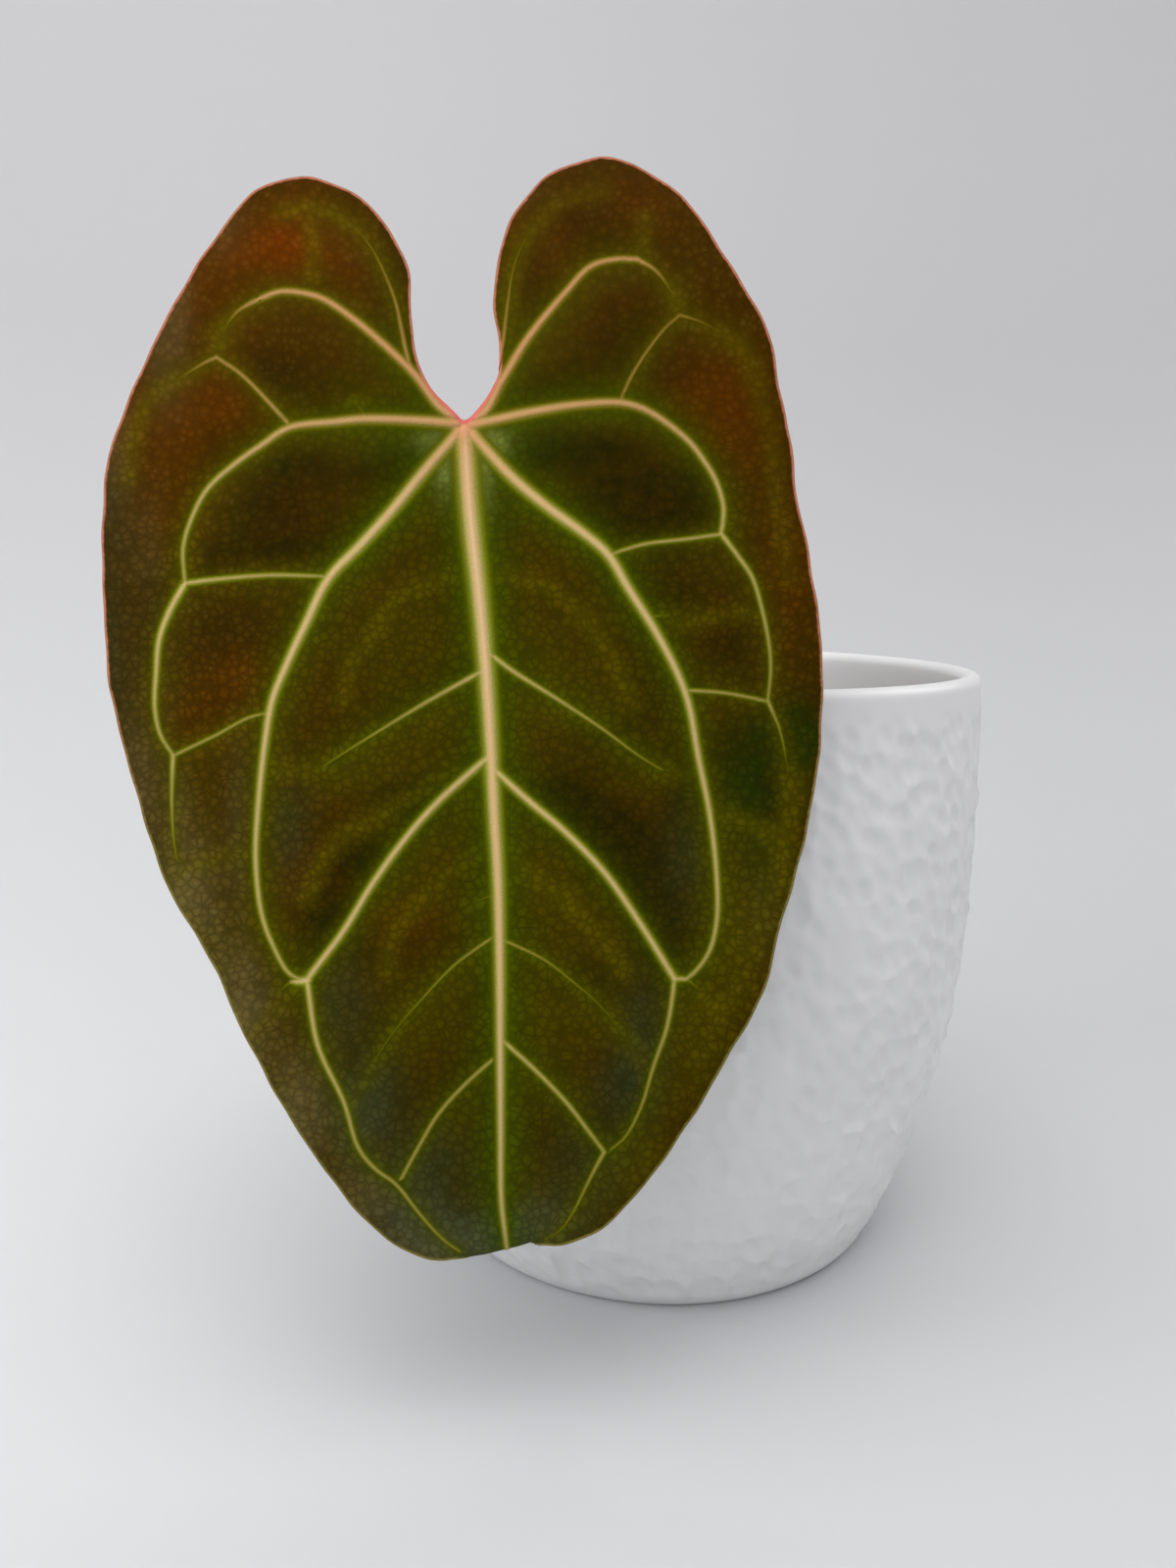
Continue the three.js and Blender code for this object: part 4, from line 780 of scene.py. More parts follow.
# Broad patches of colour seen on the real leaf: [u, v, reach across, reach up, strength]
# Most are its own colour; the grey-green sheen sets are painted sheen and the light set is painted light.
PATCHES = {
    "rust": [
        (-30, 29, 8, 5, 1.0), (-42, 22, 7, 9, 0.35), (-39, 4, 6, 6, 0.5), (-47, -4, 6, 8, 0.4),
        (-37, -42, 5, 6, 0.45), (-44, -50, 5, 6, 0.3), (15, 29, 5, 9, 0.35), (40, 5, 9, 7, 0.4),
        (45, -4, 6, 8, 0.4), (54, -25, 5, 12, 0.3), (-26, -78, 6, 7, 0.35), (-9, -85, 8, 6, 0.25),
        (-31, -13, 10, 5, 0.25), (26, 36, 9, 5, 0.35), (-18, 24, 4, 8, 0.25), (-55, 0, 4, 12, 0.3),
        (9, 30, 3.5, 9, 0.5), (12, 14, 4, 5, 0.3), (-47, -17, 6, 6, 0.35), (-22, -77, 5, 4, 0.3),
        (-27, 36, 6, 4, 0.3), (-28, -18, 6, 3, 0.3), (30, -14, 7, 4, 0.3)],
    "olive": [
        (-4, -60, 9, 16, 0.6), (12, -42, 10, 9, 0.6), (18, -80, 8, 10, 0.4), (-12, -100, 9, 8, 0.5),
        (14, -98, 8, 7, 0.5), (-20, -58, 8, 5, 0.4), (24, -52, 8, 8, 0.3), (-12, -35, 8, 8, 0.5),
        (46, -86, 4, 14, 1.0), (51, -72, 4, 14, 1.0), (54, -60, 3, 8, 0.8), (40, -104, 5, 10, 1.0),
        (28, -124, 7, 7, 1.0), (-45, -68, 5, 12, 0.5), (-42, -90, 6, 12, 0.8), (-30, -112, 6, 10, 0.8)],
    # Painted light: paler patches, mostly along the left margin and lobe, where more light falls from the
    # left.
    "light": [
        (-54, -60, 4, 12, 0.6), (-46, -80, 5, 11, 0.9), (-37, -98, 5, 10, 1.0), (-27, -114, 5, 9, 0.9),
        (-16, -128, 6, 6, 0.7), (-5, -136, 8, 3, 0.8), (-58, 0, 3, 14, 0.5), (-48, 22, 3, 10, 0.4),
        (-52, -20, 3, 8, 0.3), (50, -80, 4, 8, 0.15), (-37, -68, 2.5, 14, 0.45), (-48, -66, 2.5, 9, 0.4),
        (-50, 12, 4, 12, 0.3), (-40, 32, 4, 5, 0.3), (8, 38, 5, 3, 0.3)],
    "dark": [
        (26, -69, 6, 5, 1.0), (15, -61, 6, 4, 0.9), (33, -80, 4, 8, 1.0), (20, -65, 5, 4, 0.7),
        (29, -13, 11, 5, 1.0), (14, -5, 9, 4, 0.8), (24, -4, 10, 4, 0.7), (38, -9, 5, 6, 0.5),
        (-9, -64, 6, 3, 0.7), (-17, -72, 5, 4, 0.8), (-24, -82, 5, 6, 1.0), (-27, -17, 12, 5, 0.7),
        (-12, -9, 8, 3, 0.6), (-30, -6, 9, 4, 0.4), (-10, 14, 8, 5, 0.2), (-42, -22, 5, 4, 0.5),
        (-17, -38, 4, 4, 0.4), (-36, -34, 6, 5, 0.4), (44, -37, 5, 6, 0.5), (22, -54, 6, 5, 0.4),
        (-14, -88, 9, 4, 0.5), (20, -92, 8, 4, 0.5), (16, 8, 9, 4, 0.4), (30, -46, 4, 8, 0.5),
        (36, -62, 3, 8, 0.7), (47, -58, 5, 6, 0.6), (20, 34, 9, 6, 0.6), (26, 14, 8, 6, 0.4),
        (11, 24, 4, 9, 0.7), (34, -22, 8, 5, 0.5), (42, -12, 6, 6, 0.3), (34, -88, 4, 5, 0.6),
        (30, -14, 9, 5, 0.9), (22, -67, 5, 4, 0.7), (27, -74, 5, 5, 0.9), (31, -82, 4, 6, 0.6),
        (-13, -107, 6, 8, 0.3), (14, -118, 6, 6, 0.3),
        (45, -60, 5, 5, 0.9), (50, -63, 4, 4, 0.7), (42, -54, 4, 4, 0.5), (-28, -8, 9, 4, 0.6),
        (-33, -13, 6, 4, 0.5), (-29, 6, 8, 4, 0.5), (-8, -61, 5, 2.5, 0.6), (-21, -76, 4, 5, 0.5),
        (-30, -21, 9, 2.5, 0.6), (33, 8, 6, 5, 0.4), (36, -30, 5, 4, 0.4),
        (-12, 25, 4, 7, 0.4), (12, 4, 5, 3, 0.4), (-42, -35, 4, 5, 0.3), (24, -116, 4, 6, 0.4),
        (-33, 9, 5, 4, 0.5), (30, -28, 5, 7, 0.3)],
    # Painted sheen: grey-green patches where the velvet blade turns away and catches a grey sheen.
    "painted_sheen": [
        (-59, -40, 4, 18, 0.6), (-51, -34, 3, 8, 0.3), (-20, -96, 5, 7, 0.7), (-16, -112, 6, 7, 1.0),
        (-6, -124, 8, 7, 0.9), (1, -134, 15, 4, 0.9), (37, -72, 4, 9, 0.6), (30, -100, 4, 8, 0.8),
        (27, -110, 5, 6, 0.9), (20, -124, 7, 8, 0.6), (-29, -68, 4, 9, 0.6), (-58, -15, 3, 8, 0.3)],
    "green": [
        (51, -52, 7, 5, 0.9), (46, -62, 5, 7, 1.0), (56, -52, 4, 7, 0.9), (50, -73, 6, 8, 0.5),
        (12, -4, 7, 4, 0.5), (-10, -5, 9, 3, 0.7), (6, -16, 4, 10, 0.5), (-38, -15, 4, 7, 0.25)],
    # Painted sheen: grey patches along the fold where the tip rolls back out of sight.
    "painted_fold_sheen": [(1, -136, 10, 3.5, 0.9), (-9, -131, 6, 4, 0.5), (12, -132, 6, 4, 0.4), (-18, -116, 4, 6, 0.3)],
    "pale": [
        (-2.9, -6, 1.8, 5.5, 1.0), (4, -3.6, 3, 2.4, 1.0), (3.2, -8.5, 1.5, 6, 0.8),
        (-5.5, -3.2, 2.5, 1.8, 0.6)],
}
# Faint side veins that show only as soft olive bands: [strength, centre line]
FAINT_VEINS = [
    (0.8, [(5.8, -90), (6.2, -108), (6.7, -130)]),
    (0.9, [(2, -25), (-7, -27.3), (-12, -30.5), (-15, -35), (-18.5, -40), (-20, -46)]),
    (0.9, [(6, -25), (12.5, -26.5), (17.4, -29.7), (21.4, -34.6), (25.5, -41), (28, -47)]),
    (1.0, [(-1, -58), (-8.6, -62), (-14.3, -65.5), (-20, -68.7), (-24, -73.6), (-26, -79)]),
    (0.9, [(4.4, -70.4), (-3.7, -76), (-8.6, -81), (-12, -86), (-12.7, -91)]),
    (0.9, [(8.4, -72.8), (14, -76.9), (19, -81.7), (24, -87.4), (26.5, -91)]),
    (0.9, [(-23.6, -56.7), (-27, -57.8), (-33, -57.3)]),
    (0.9, [(32.9, -57.6), (36, -58.2), (39, -58)]),
    (0.9, [(-34.6, -70.4), (-40.3, -72), (-45.2, -73.6), (-48, -75)]),
    (0.8, [(-28, -94), (-32, -98), (-34.6, -101.2)]),
    (0.8, [(38.5, -94.7), (42, -97.2)]),
    (0.9, [(-48.1, 7.2), (-52, 4), (-54.5, -2), (-55.5, -9)]),
    (0.6, [(46.8, 10.4), (49, 4), (51, -3), (52, -14), (54, -26)]),
    (1.0, [(-39, 17), (-40.6, 14), (-40.8, 11.1)]),
    (1.0, [(33.8, 22.8), (35.3, 20.5), (35.7, 17.9)]),
    (0.9, [(-20.8, 34.2), (-25.2, 35.5), (-30, 35)]),
    (0.8, [(-25.7, 35.3), (-25, 29.6), (-25, 24)]),
    (0.7, [(43.3, 14.4), (47, 11), (49, 6)]),
    (0.6, [(11.6, 32), (16, 36.5), (23, 38.5)]),
    (0.7, [(30, 33.6), (29.6, 29), (28.6, 27.5)]),
    (0.8, [(35, -33), (41, -32.2), (47.5, -31.4)]),
    (1.0, [(41.3, -64.6), (44.7, -65.5), (49, -67.2), (53, -69)]),
    (0.9, [(54, -58.4), (54, -63), (53, -69), (52.5, -76)]),
    (0.7, [(27.8, -103.1), (30, -107), (31, -110)]),
    (0.8, [(-16.9, -110), (-19, -114)]),
    (0.4, [(-47.8, -72.6), (-46, -80), (-42, -92), (-36, -103)]),
    (0.4, [(52.3, -76), (49, -84), (45, -94), (39, -104)]),
    (0.6, [(24.1, -120.8), (22, -123)]),
]
HAZE_REACH = 1.7
THIN_VEIN_HAZE, THIN_VEIN = 0.75, (1.4, 2.0)  # a vein is thin by the first less the second x its half width
# How pale a vein is: PALE_TOP (1 - exp(-width / PALE_WIDTH)) in the middle, and to the side that much
# times exp(-(side / reach)^PALE_POWER), where reach is the first of PALE_REACH plus the second x the width
PALE_TOP, PALE_WIDTH, PALE_POWER = 1.1, 0.75, 1.6
PALE_REACH = (0.1, 0.76)
BLUSH_REACH = 9.0
PANEL_MIDDLE = (2.2, 7.5)


def patch_amount(u, v, patches):
    """The sum of round hills exp(-(du/a)^2 - (dv/b)^2), at most 1."""
    hills = (top * np.exp(-(((u - pu) / a) ** 2) - ((v - pv) / b) ** 2) for pu, pv, a, b, top in patches)
    return np.minimum(sum(hills), 1)


def vein_glow(half, away):
    """1 - product of (1 - g) over all veins, with g = strength exp(-distance past the vein's edge / reach).
    Wide veins glow more and further."""
    width = 2 * np.array([halves.max() for halves in VEIN_HALVES.values()])
    strength = np.minimum(GLOW_STRENGTH * width, 1)
    reach = GLOW_REACH[0] + GLOW_REACH[1] * width
    return 1 - np.prod(1 - strength * np.exp(-np.maximum(away - half, 0) / reach), axis=1)


def store(mesh, name, kind, domain, values):
    """Writes an attribute: a value or three for each point or each face corner."""
    attribute = mesh.attributes.new(name, kind, domain)
    field = "value" if kind == "FLOAT" else "vector"
    attribute.data.foreach_set(field, np.ascontiguousarray(values, np.float32).ravel())


def dress(mesh, plan, point_plan):
    """Stores the plan as a UV map in mm, and the distances and tints that the leaf's materials read.
    point_plan gives each mesh point's number in the plan."""
    side, half, away = measure_veins(plan)
    corners = np.empty(len(mesh.loops), int)
    mesh.loops.foreach_get("vertex_index", corners)
    corners = point_plan[corners]
    starts, totals = np.empty(len(mesh.polygons), int), np.empty(len(mesh.polygons), int)
    mesh.polygons.foreach_get("loop_start", starts)
    mesh.polygons.foreach_get("loop_total", totals)
    from_edge = (away - half).astype(np.float32)
    on_face = np.add.reduceat(from_edge[corners], starts) / totals[:, None]
    chosen = np.argpartition(on_face, FACE_VEINS, axis=1)[:, :FACE_VEINS]
    chosen = np.repeat(chosen, totals, axis=0)
    sides, halves = side[corners[:, None], chosen], half[corners[:, None], chosen]
    jump = np.maximum.reduceat(sides, starts) - np.minimum.reduceat(sides, starts) > SIGN_JUMP
    sides = np.where(np.repeat(jump, totals, axis=0), np.abs(sides), sides)
    width = 2 * np.maximum(halves, 0)
    store(mesh, "vein_side", "FLOAT_VECTOR", "CORNER", sides / (PALE_REACH[0] + PALE_REACH[1] * width))
    store(mesh, "vein_paleness", "FLOAT_VECTOR", "CORNER", PALE_TOP * (1 - np.exp(-width / PALE_WIDTH)))
    plan_map = mesh.uv_layers.new(name="plan_mm")
    plan_map.uv.foreach_set("vector", plan[corners].astype(np.float32).ravel())
    u, v = plan[:, 0], plan[:, 1]
    points = {name: patch_amount(u, v, patches) for name, patches in PATCHES.items()}
    points["glow"] = vein_glow(half, away) * (1 - GLOW_LOBES[2] * smoothstep(*GLOW_LOBES[:2], v))
    outer = np.abs(u - BOW) / HALF_WIDTH + OUTER_LOBES * smoothstep(0, OUTER_LOBES_TOP, v)
    points["outer"] = smoothstep(*OUTER_BAND, outer)
    thinness = np.clip(THIN_VEIN[0] - THIN_VEIN[1] * half, 0, 1) * (half > 0)
    points["haze"] = THIN_VEIN_HAZE * (thinness * np.exp(-((away / HAZE_REACH) ** 2))).max(axis=1)
    for strength, line in FAINT_VEINS:
        gap = nearest_on(smooth_line(line, VEIN_STEP), plan)[1]
        points["haze"] = np.maximum(points["haze"], strength * np.exp(-((gap / HAZE_REACH) ** 2)))
    points["lobes"] = smoothstep(*LOBES_FADE, v)
    points["middle"] = smoothstep(*PANEL_MIDDLE, away.min(axis=1))
    points["margin_gap"] = nearest_on(MARGIN, plan)[1]
    points["blush"] = np.exp(-(np.hypot(u - NOTCH[0], v - NOTCH[1]) / BLUSH_REACH) ** 2)
    for name, values in points.items():
        store(mesh, name, "FLOAT", "POINT", values[point_plan])


# %% [markdown]
# ## The leaf's upper skin
#
# The upper skin is velvety: tiny cone-shaped cells swallow the light, so the leaf is very dark and has
# almost no gloss, only a faint grey-green sheen where it turns away. Cream veins lie on it. Each one has
# soft, slightly hairy edges, then a thin yellow-green line, then a green glow that fades into olive and
# rust brown. Between them runs a fine net with cells of about 1.5 mm. A painted image could hold all
# this, but it would blur up close. Here the vein distances give the lines and cell patterns give the net.

# %% Leaf skin: the ground between the veins
VELVET_ROUGHNESS, SKIN_RELIEF = 0.62, 0.00012
# The grey-green sheen and fold-sheen entries are painted sheen and the light entry is painted light; the rest
# are the leaf's own colours.
SKIN = {
    "ground": "433901", "brown": "422801", "glow": "3e5201", "outer_glow": "524801", "rust": "702e01",
    "olive": "4f4801", "dark": "1e1401", "painted_sheen": "2f3620", "pale": "7f8a3c", "green": "1c3003",
    "haze": "635901", "light": "72633a", "painted_fold_sheen": "5c5f45"}
# The shares of the sheen and light patches set how much painted sheen and painted light is laid on.
PATCH_SHARE = {"olive": 0.6, "light": 0.7, "rust": 0.75, "dark": 0.82, "painted_sheen": 0.75, "green": 0.8, "painted_fold_sheen": 0.8}
TOP_SHARE = {"haze": 0.5, "glow": 1.0, "pale": 0.9}
MOTTLE = (0.6, 0.7)  # the patches' strength: this much mottle, and this on top
BROWN_OUTER, BROWN_MIDDLE, BROWN_BLOTS, BROWN_START = 0.6, 0.45, 1.4, -0.55
NET_WANDER = 0.5


def ground_colour(tree, skin, amount, blots, uneven):
    """Green to brown ground with the patches on it, some of them painted sheen and painted light, then haze,
    glow and pale parts, all a little uneven.
    """
    brown = add(tree, "Math", "MULTIPLY_ADD", amount["outer"], BROWN_OUTER, BROWN_START)
    brown = add(tree, "Math", "MULTIPLY_ADD", amount["middle"], BROWN_MIDDLE, brown)
    brown = add(tree, "Math", MULTIPLY_ADD_WITHIN, blots, BROWN_BLOTS, brown)
    base = add(tree, "Mix", MIX_COLOUR, brown, skin["ground"], skin["brown"])
    for name, share in {**PATCH_SHARE, **TOP_SHARE}.items():
        colour = skin[name]
        if name == "glow":
            colour = add(tree, "Mix", MIX_COLOUR, amount["outer"], skin["glow"], skin["outer_glow"])
        part = add(tree, "Math", "MULTIPLY", amount[name], share)
        part = add(tree, "Math", MULTIPLY_WITHIN, part, uneven)
        base = add(tree, "Mix", MIX_COLOUR, part, base, colour)
    return base


# %% Leaf skin: the fine net
# [width of a cell in mm, width of the line in cells, how dark the line is] of the net and of the finer one
NETS = ((1.45, 0.13, 0.74), (0.7, 0.15, 0.9))
NET_TOP = 1.04
NET_FADE, NET_FADED = (-35.0, 10.0), 0.6  # the net fades upwards over these heights by this share
CELL_SHADE, CELL_REACH = (1.14, 0.87), 0.75  # a cell's middle is paler than its corners
DOT_COLOUR, DOT_EDGE, DOT_SHARE = "86743c", (0.42, 0.08), 0.09


def net_over(tree, base, amount, warped, mottle, upper):
    """The base with two nets of dark lines, paler cells and tiny dots. Returns it and the nets' relief."""
    faint = add(tree, "MapRange", SMOOTH_RANGE, upper, *NET_FADE, To_Max=NET_FADED)
    relief = []
    for cell, line, depth in NETS:
        edge = add(tree, "TexVoronoi", {"feature": "DISTANCE_TO_EDGE"}, warped, Scale=1 / cell)
        inside = add(tree, "MapRange", SMOOTH_RANGE, edge, From_Max=2 * line)
        shade = add(tree, "MapRange", None, inside, To_Min=depth, To_Max=NET_TOP)
        shade = add(tree, "Mix", None, faint, shade, 1.0)
        base = add(tree, "Mix", MULTIPLY_COLOUR, 1.0, base, shade)
        relief.append(inside)
    middles = add(tree, "TexVoronoi", None, warped, Scale=1 / NETS[0][0])
    shade = add(tree, "MapRange", None, middles, 0.0, CELL_REACH, *CELL_SHADE)
    base = add(tree, "Mix", MULTIPLY_COLOUR, 1.0, base, shade)
    dots = add(tree, "MapRange", SMOOTH_RANGE, middles, *DOT_EDGE, To_Max=DOT_SHARE)
    dots = add(tree, "Math", "MULTIPLY", dots, amount["outer"])
    dots = add(tree, "Math", "MULTIPLY", dots, mottle)
    return add(tree, "Mix", MIX_COLOUR, dots, base, DOT_COLOUR), relief


# %% Leaf skin: the vein lines
# The colour of a vein by its paleness: [paleness, colour]
VEIN_TONES = [
    (0.15, "534f01"), (0.3, "645f08"), (0.4, "736d18"), (0.5, "877b36"), (0.6, "998a48"),
    (0.7, "ac9b5a"), (0.8, "bfa76a"), (0.9, "ccae74"), (1.0, "d7b381"), (1.06, "e0c295")]
VEIN_FADE, VEIN_FUZZ, VEIN_JOINING = (0.03, 0.4), 0.26, 0.3
FLANK_TINT, FLANK_FALL = "e2ffb8", (0.9, 0.5)  # beside a vein's middle its colour turns greener
LOBE_TINT = "f2d2d0"
# Where all veins meet: how steeply paleness and flush fall off, and the paleness at which the flush sets in
JUNCTION, JUNCTION_POWERS = "d2936c", (9.0, 7.0)
FLUSH_START, FLUSH_TOP = (0.45, 0.9), 0.85
LEAST_TOTAL = 1e-4  # keeps the division below from going by nothing


def veins_over(tree, base, tones, amount, plan_at, share):
    """The base under the vein lines. A line's paleness is top x exp(-(side + fuzz)^power), lines are joined
    by a soft maximum, and the tones turn paleness into colour."""
    fuzz = add(tree, "TexNoise", None, plan_at, Scale=3.4, Detail=4.0, Roughness=0.7)
    fuzz = add(tree, "Math", "MULTIPLY_ADD", fuzz, 2 * VEIN_FUZZ, -VEIN_FUZZ)
    side_at = add(tree, "Attribute", {"attribute_name": "vein_side"}, out="Vector")
    side_at = add(tree, "VectorMath", "ABSOLUTE", side_at)
    side_at = add(tree, "VectorMath", "ADD", side_at, fuzz)
    side_at = add(tree, "VectorMath", "MAXIMUM", side_at, (0, 0, 0))
    sides = add(tree, "SeparateXYZ", None, side_at).node.outputs
    top_at = add(tree, "Attribute", {"attribute_name": "vein_paleness"}, out="Vector")
    tops = add(tree, "SeparateXYZ", None, top_at).node.outputs
    paleness = add(tree, "Math", "POWER", amount["blush"], JUNCTION_POWERS[0])
    total, weighted = LEAST_TOTAL, 0.0
    for number in range(FACE_VEINS):
        fall = add(tree, "Math", "POWER", sides[number], PALE_POWER)
        fall = add(tree, "Math", "POWER", math.exp(-1), fall)
        one = add(tree, "Math", "MULTIPLY", fall, tops[number])
        paleness = add(tree, "Math", "SMOOTH_MAX", paleness, one, VEIN_JOINING)
        total = add(tree, "Math", "ADD", total, one)
        weighted = add(tree, "Math", "MULTIPLY_ADD", fall, one, weighted)
    low, high = tones[0][0], tones[-1][0]
    ramp = add(tree, "ValToRGB", None, add(tree, "MapRange", None, paleness, low, high)).node
    for number, (at_paleness, colour) in enumerate(tones):
        at = (at_paleness - low) / (high - low)
        element = ramp.color_ramp.elements[number] if number < 2 else ramp.color_ramp.elements.new(at)
        element.position = at
        element.color = linear(colour)
    flank = add(tree, "Math", "DIVIDE", weighted, total)
    flank = add(tree, "MapRange", SMOOTH_RANGE, flank, *FLANK_FALL)
    line = add(tree, "Mix", MULTIPLY_COLOUR, flank, ramp.outputs["Color"], FLANK_TINT)
    line = add(tree, "Mix", MULTIPLY_COLOUR, amount["lobes"], line, LOBE_TINT)
    flush = add(tree, "Math", "POWER", amount["blush"], JUNCTION_POWERS[1])
    inside = add(tree, "MapRange", None, paleness, *FLUSH_START, To_Max=FLUSH_TOP)
    flush = add(tree, "Math", "MULTIPLY", flush, inside)
    line = add(tree, "Mix", MIX_COLOUR, flush, line, JUNCTION)
    on_vein = add(tree, "MapRange", SMOOTH_RANGE, paleness, *VEIN_FADE, To_Max=share)
    return add(tree, "Mix", MIX_COLOUR, on_vein, base, line)


# %% Leaf skin: the margin line, and the whole skin
MARGIN_LINE, MARGIN_PINK = (0.1, 0.48), "dc6e68"
MARGIN_UNEVEN, NOTCH_WIDENING = 0.15, 0.25  # mm that the line wavers, and that it is wider at the notch
MARGIN_HEIGHTS = (-75.0, -25.0)  # over these heights it turns from its lower to its upper colour
RELIEF_SHARES = (0.6, 0.3)


def margin_over(tree, base, colours, amount, plan_at, upper):
    """The base under the thin line along the margin, tan to pink."""
    waver = add(tree, "TexNoise", None, plan_at, Scale=0.9, Detail=2.0)
    waver = add(tree, "Math", "MULTIPLY_ADD", waver, 2 * MARGIN_UNEVEN, -MARGIN_UNEVEN)
    at_margin = add(tree, "Math", "ADD", amount["margin_gap"], waver)
    at_notch = add(tree, "Math", "MULTIPLY", amount["blush"], NOTCH_WIDENING)
    at_margin = add(tree, "Math", "SUBTRACT", at_margin, at_notch)
    on_margin = add(tree, "MapRange", SMOOTH_RANGE, at_margin, *MARGIN_LINE, 1.0, 0.0)
    upper = add(tree, "MapRange", SMOOTH_RANGE, upper, *MARGIN_HEIGHTS)
    tan = add(tree, "Mix", MIX_COLOUR, upper, *colours)
    tan = add(tree, "Mix", MIX_COLOUR, amount["blush"], tan, MARGIN_PINK)
    return add(tree, "Mix", MIX_COLOUR, on_margin, base, tan)


def leaf_skin(name, tones, skin, margin_colours, vein_share, sheen):
    """A leaf skin: ground and patches, times the net, under the vein lines and the margin line."""
    material, tree, shader = new_material(
        name, Roughness=VELVET_ROUGHNESS, Sheen_Weight=sheen, Sheen_Roughness=0.45, Specular_IOR_Level=0.01)
    shader.inputs["Sheen Tint"].default_value = linear("a8b49a")
    plan_at = add(tree, "UVMap", {"uv_map": "plan_mm"})
    amount = {
        name: add(tree, "Attribute", {"attribute_name": name}, out="Fac")
        for name in [*PATCHES, "outer", "middle", "haze", "glow", "lobes", "margin_gap", "blush"]
    }
    wander = add(tree, "TexNoise", None, plan_at, Scale=0.3, Detail=2.0, out="Color")
    wander = add(tree, "VectorMath", "SUBTRACT", wander, (0.5, 0.5, 0.5))
    wander_by = (2 * NET_WANDER, 2 * NET_WANDER, 0)
    warped = add(tree, "VectorMath", "MULTIPLY_ADD", wander, wander_by, plan_at)
    blots = add(tree, "TexNoise", None, plan_at, Scale=0.1, Detail=4.0, Roughness=0.6)
    mottle = add(tree, "TexNoise", None, warped, Scale=0.38, Detail=4.0, Roughness=0.65)
    mottle = add(tree, "MapRange", None, mottle, From_Min=0.3, From_Max=0.7)
    uneven = add(tree, "Math", "MULTIPLY_ADD", mottle, *MOTTLE)
    base = ground_colour(tree, skin, amount, blots, uneven)
    upper = add(tree, "SeparateXYZ", None, plan_at, out=1)
    base, relief = net_over(tree, base, amount, warped, mottle, upper)
    base = veins_over(tree, base, tones, amount, plan_at, vein_share)
    base = margin_over(tree, base, margin_colours, amount, plan_at, upper)
    height = add(tree, "TexNoise", None, plan_at, Scale=4.0, Detail=2.0)
    for net, share in zip(relief, RELIEF_SHARES):
        height = add(tree, "Math", "MULTIPLY_ADD", net, share, height)
    dress_shader(tree, shader, base, height, strength=0.35, depth=SKIN_RELIEF)
    return material


upper_skin = leaf_skin(
    "velvety_leaf_upper_skin", VEIN_TONES, SKIN, ("7c7438", "c2745a"), vein_share=1.0, sheen=0.01)
print("upper skin:", len(upper_skin.node_tree.nodes), "nodes")

# %% [markdown]
# ## The leaf's lower skin and rim
#
# The lower skin has no velvet cells. It is paler, matt and grey-green, and the veins stand out more in
# form than in colour. The rim is a hard, thin edge, tan to pink.

# %% Leaf lower skin and rim
LOWER_TONES = [
    (0.15, "6c733f"), (0.35, "7a7e47"), (0.55, "888a4e"), (0.75, "96935a"), (0.9, "a09b64"), (1.05, "aaa370")]
# As on the upper skin, the sheen entries here are painted sheen and the light entry is painted light.
LOWER_SKIN = {
    "ground": "5d6638", "brown": "63643a", "glow": "6a7342", "outer_glow": "6c7040", "rust": "6f5f3c",
    "olive": "656b38", "dark": "525b33", "painted_sheen": "5f6a48", "pale": "78825a", "green": "525f36",
    "haze": "6e7544", "light": "737a4e", "painted_fold_sheen": "6f7550"}
lower_skin = leaf_skin(
    "matt_leaf_lower_skin", LOWER_TONES, LOWER_SKIN, ("7a7448", "94764c"), vein_share=0.8, sheen=0.05)

leaf_rim, tree, shader = new_material("hard_leaf_rim", Roughness=0.5)
blush = add(tree, "Attribute", {"attribute_name": "blush"}, out="Fac")
rim_colour = add(tree, "Mix", MIX_COLOUR, blush, "7d6238", "c8625a")
rim_noise = add(tree, "TexNoise", None, add(tree, "UVMap", {"uv_map": "plan_mm"}), Scale=0.2)
rim_noise = add(tree, "MapRange", None, rim_noise, From_Min=0.4, From_Max=0.6, To_Min=0.75)
dress_shader(tree, shader, add(tree, "Mix", MULTIPLY_COLOUR, 1.0, rim_colour, rim_noise))
print("lower skin and rim done")

# %% Blade piece
blade = make_piece(
    "leaf_skin", in_pot_frame(blade_points), [*fronts, *backs, *rims], "leaf_blade",
    [upper_skin, lower_skin, leaf_rim])
blade.data.polygons.foreach_set("material_index", blade_finish)
dress(blade.data, plan, blade_plan)

# %% [markdown]
# ## Raised veins
#
# The main veins stand out of both faces, a little in front and more at the back. Each is a tube with a
# lens-shaped section, carried along the vein's line on the blade, half sunk in. It could be part of the
# blade's own grid, but the grid doesn't run along the veins, and its cells would make steps in them.

# %% Vein tubes
RING, VEIN_TUBE_STEP = 16, 1.0
VEIN_REACH = (0.45, 0.5)  # half width of the tube: this much, and this share of the vein's width
OVER_MARGIN = 0.05  # a tube's side may reach this far past the margin
# How deep the lens is sunk, and how far it stands out in front and at the back: this much, and this x width
SUNK, FRONT_RISE, BACK_RISE = 0.32, (0.16, 0.12), (0.3, 0.4)
START_TAPER, END_TAPER, LEAST_TAPER = 1.2, 2.5, 0.15


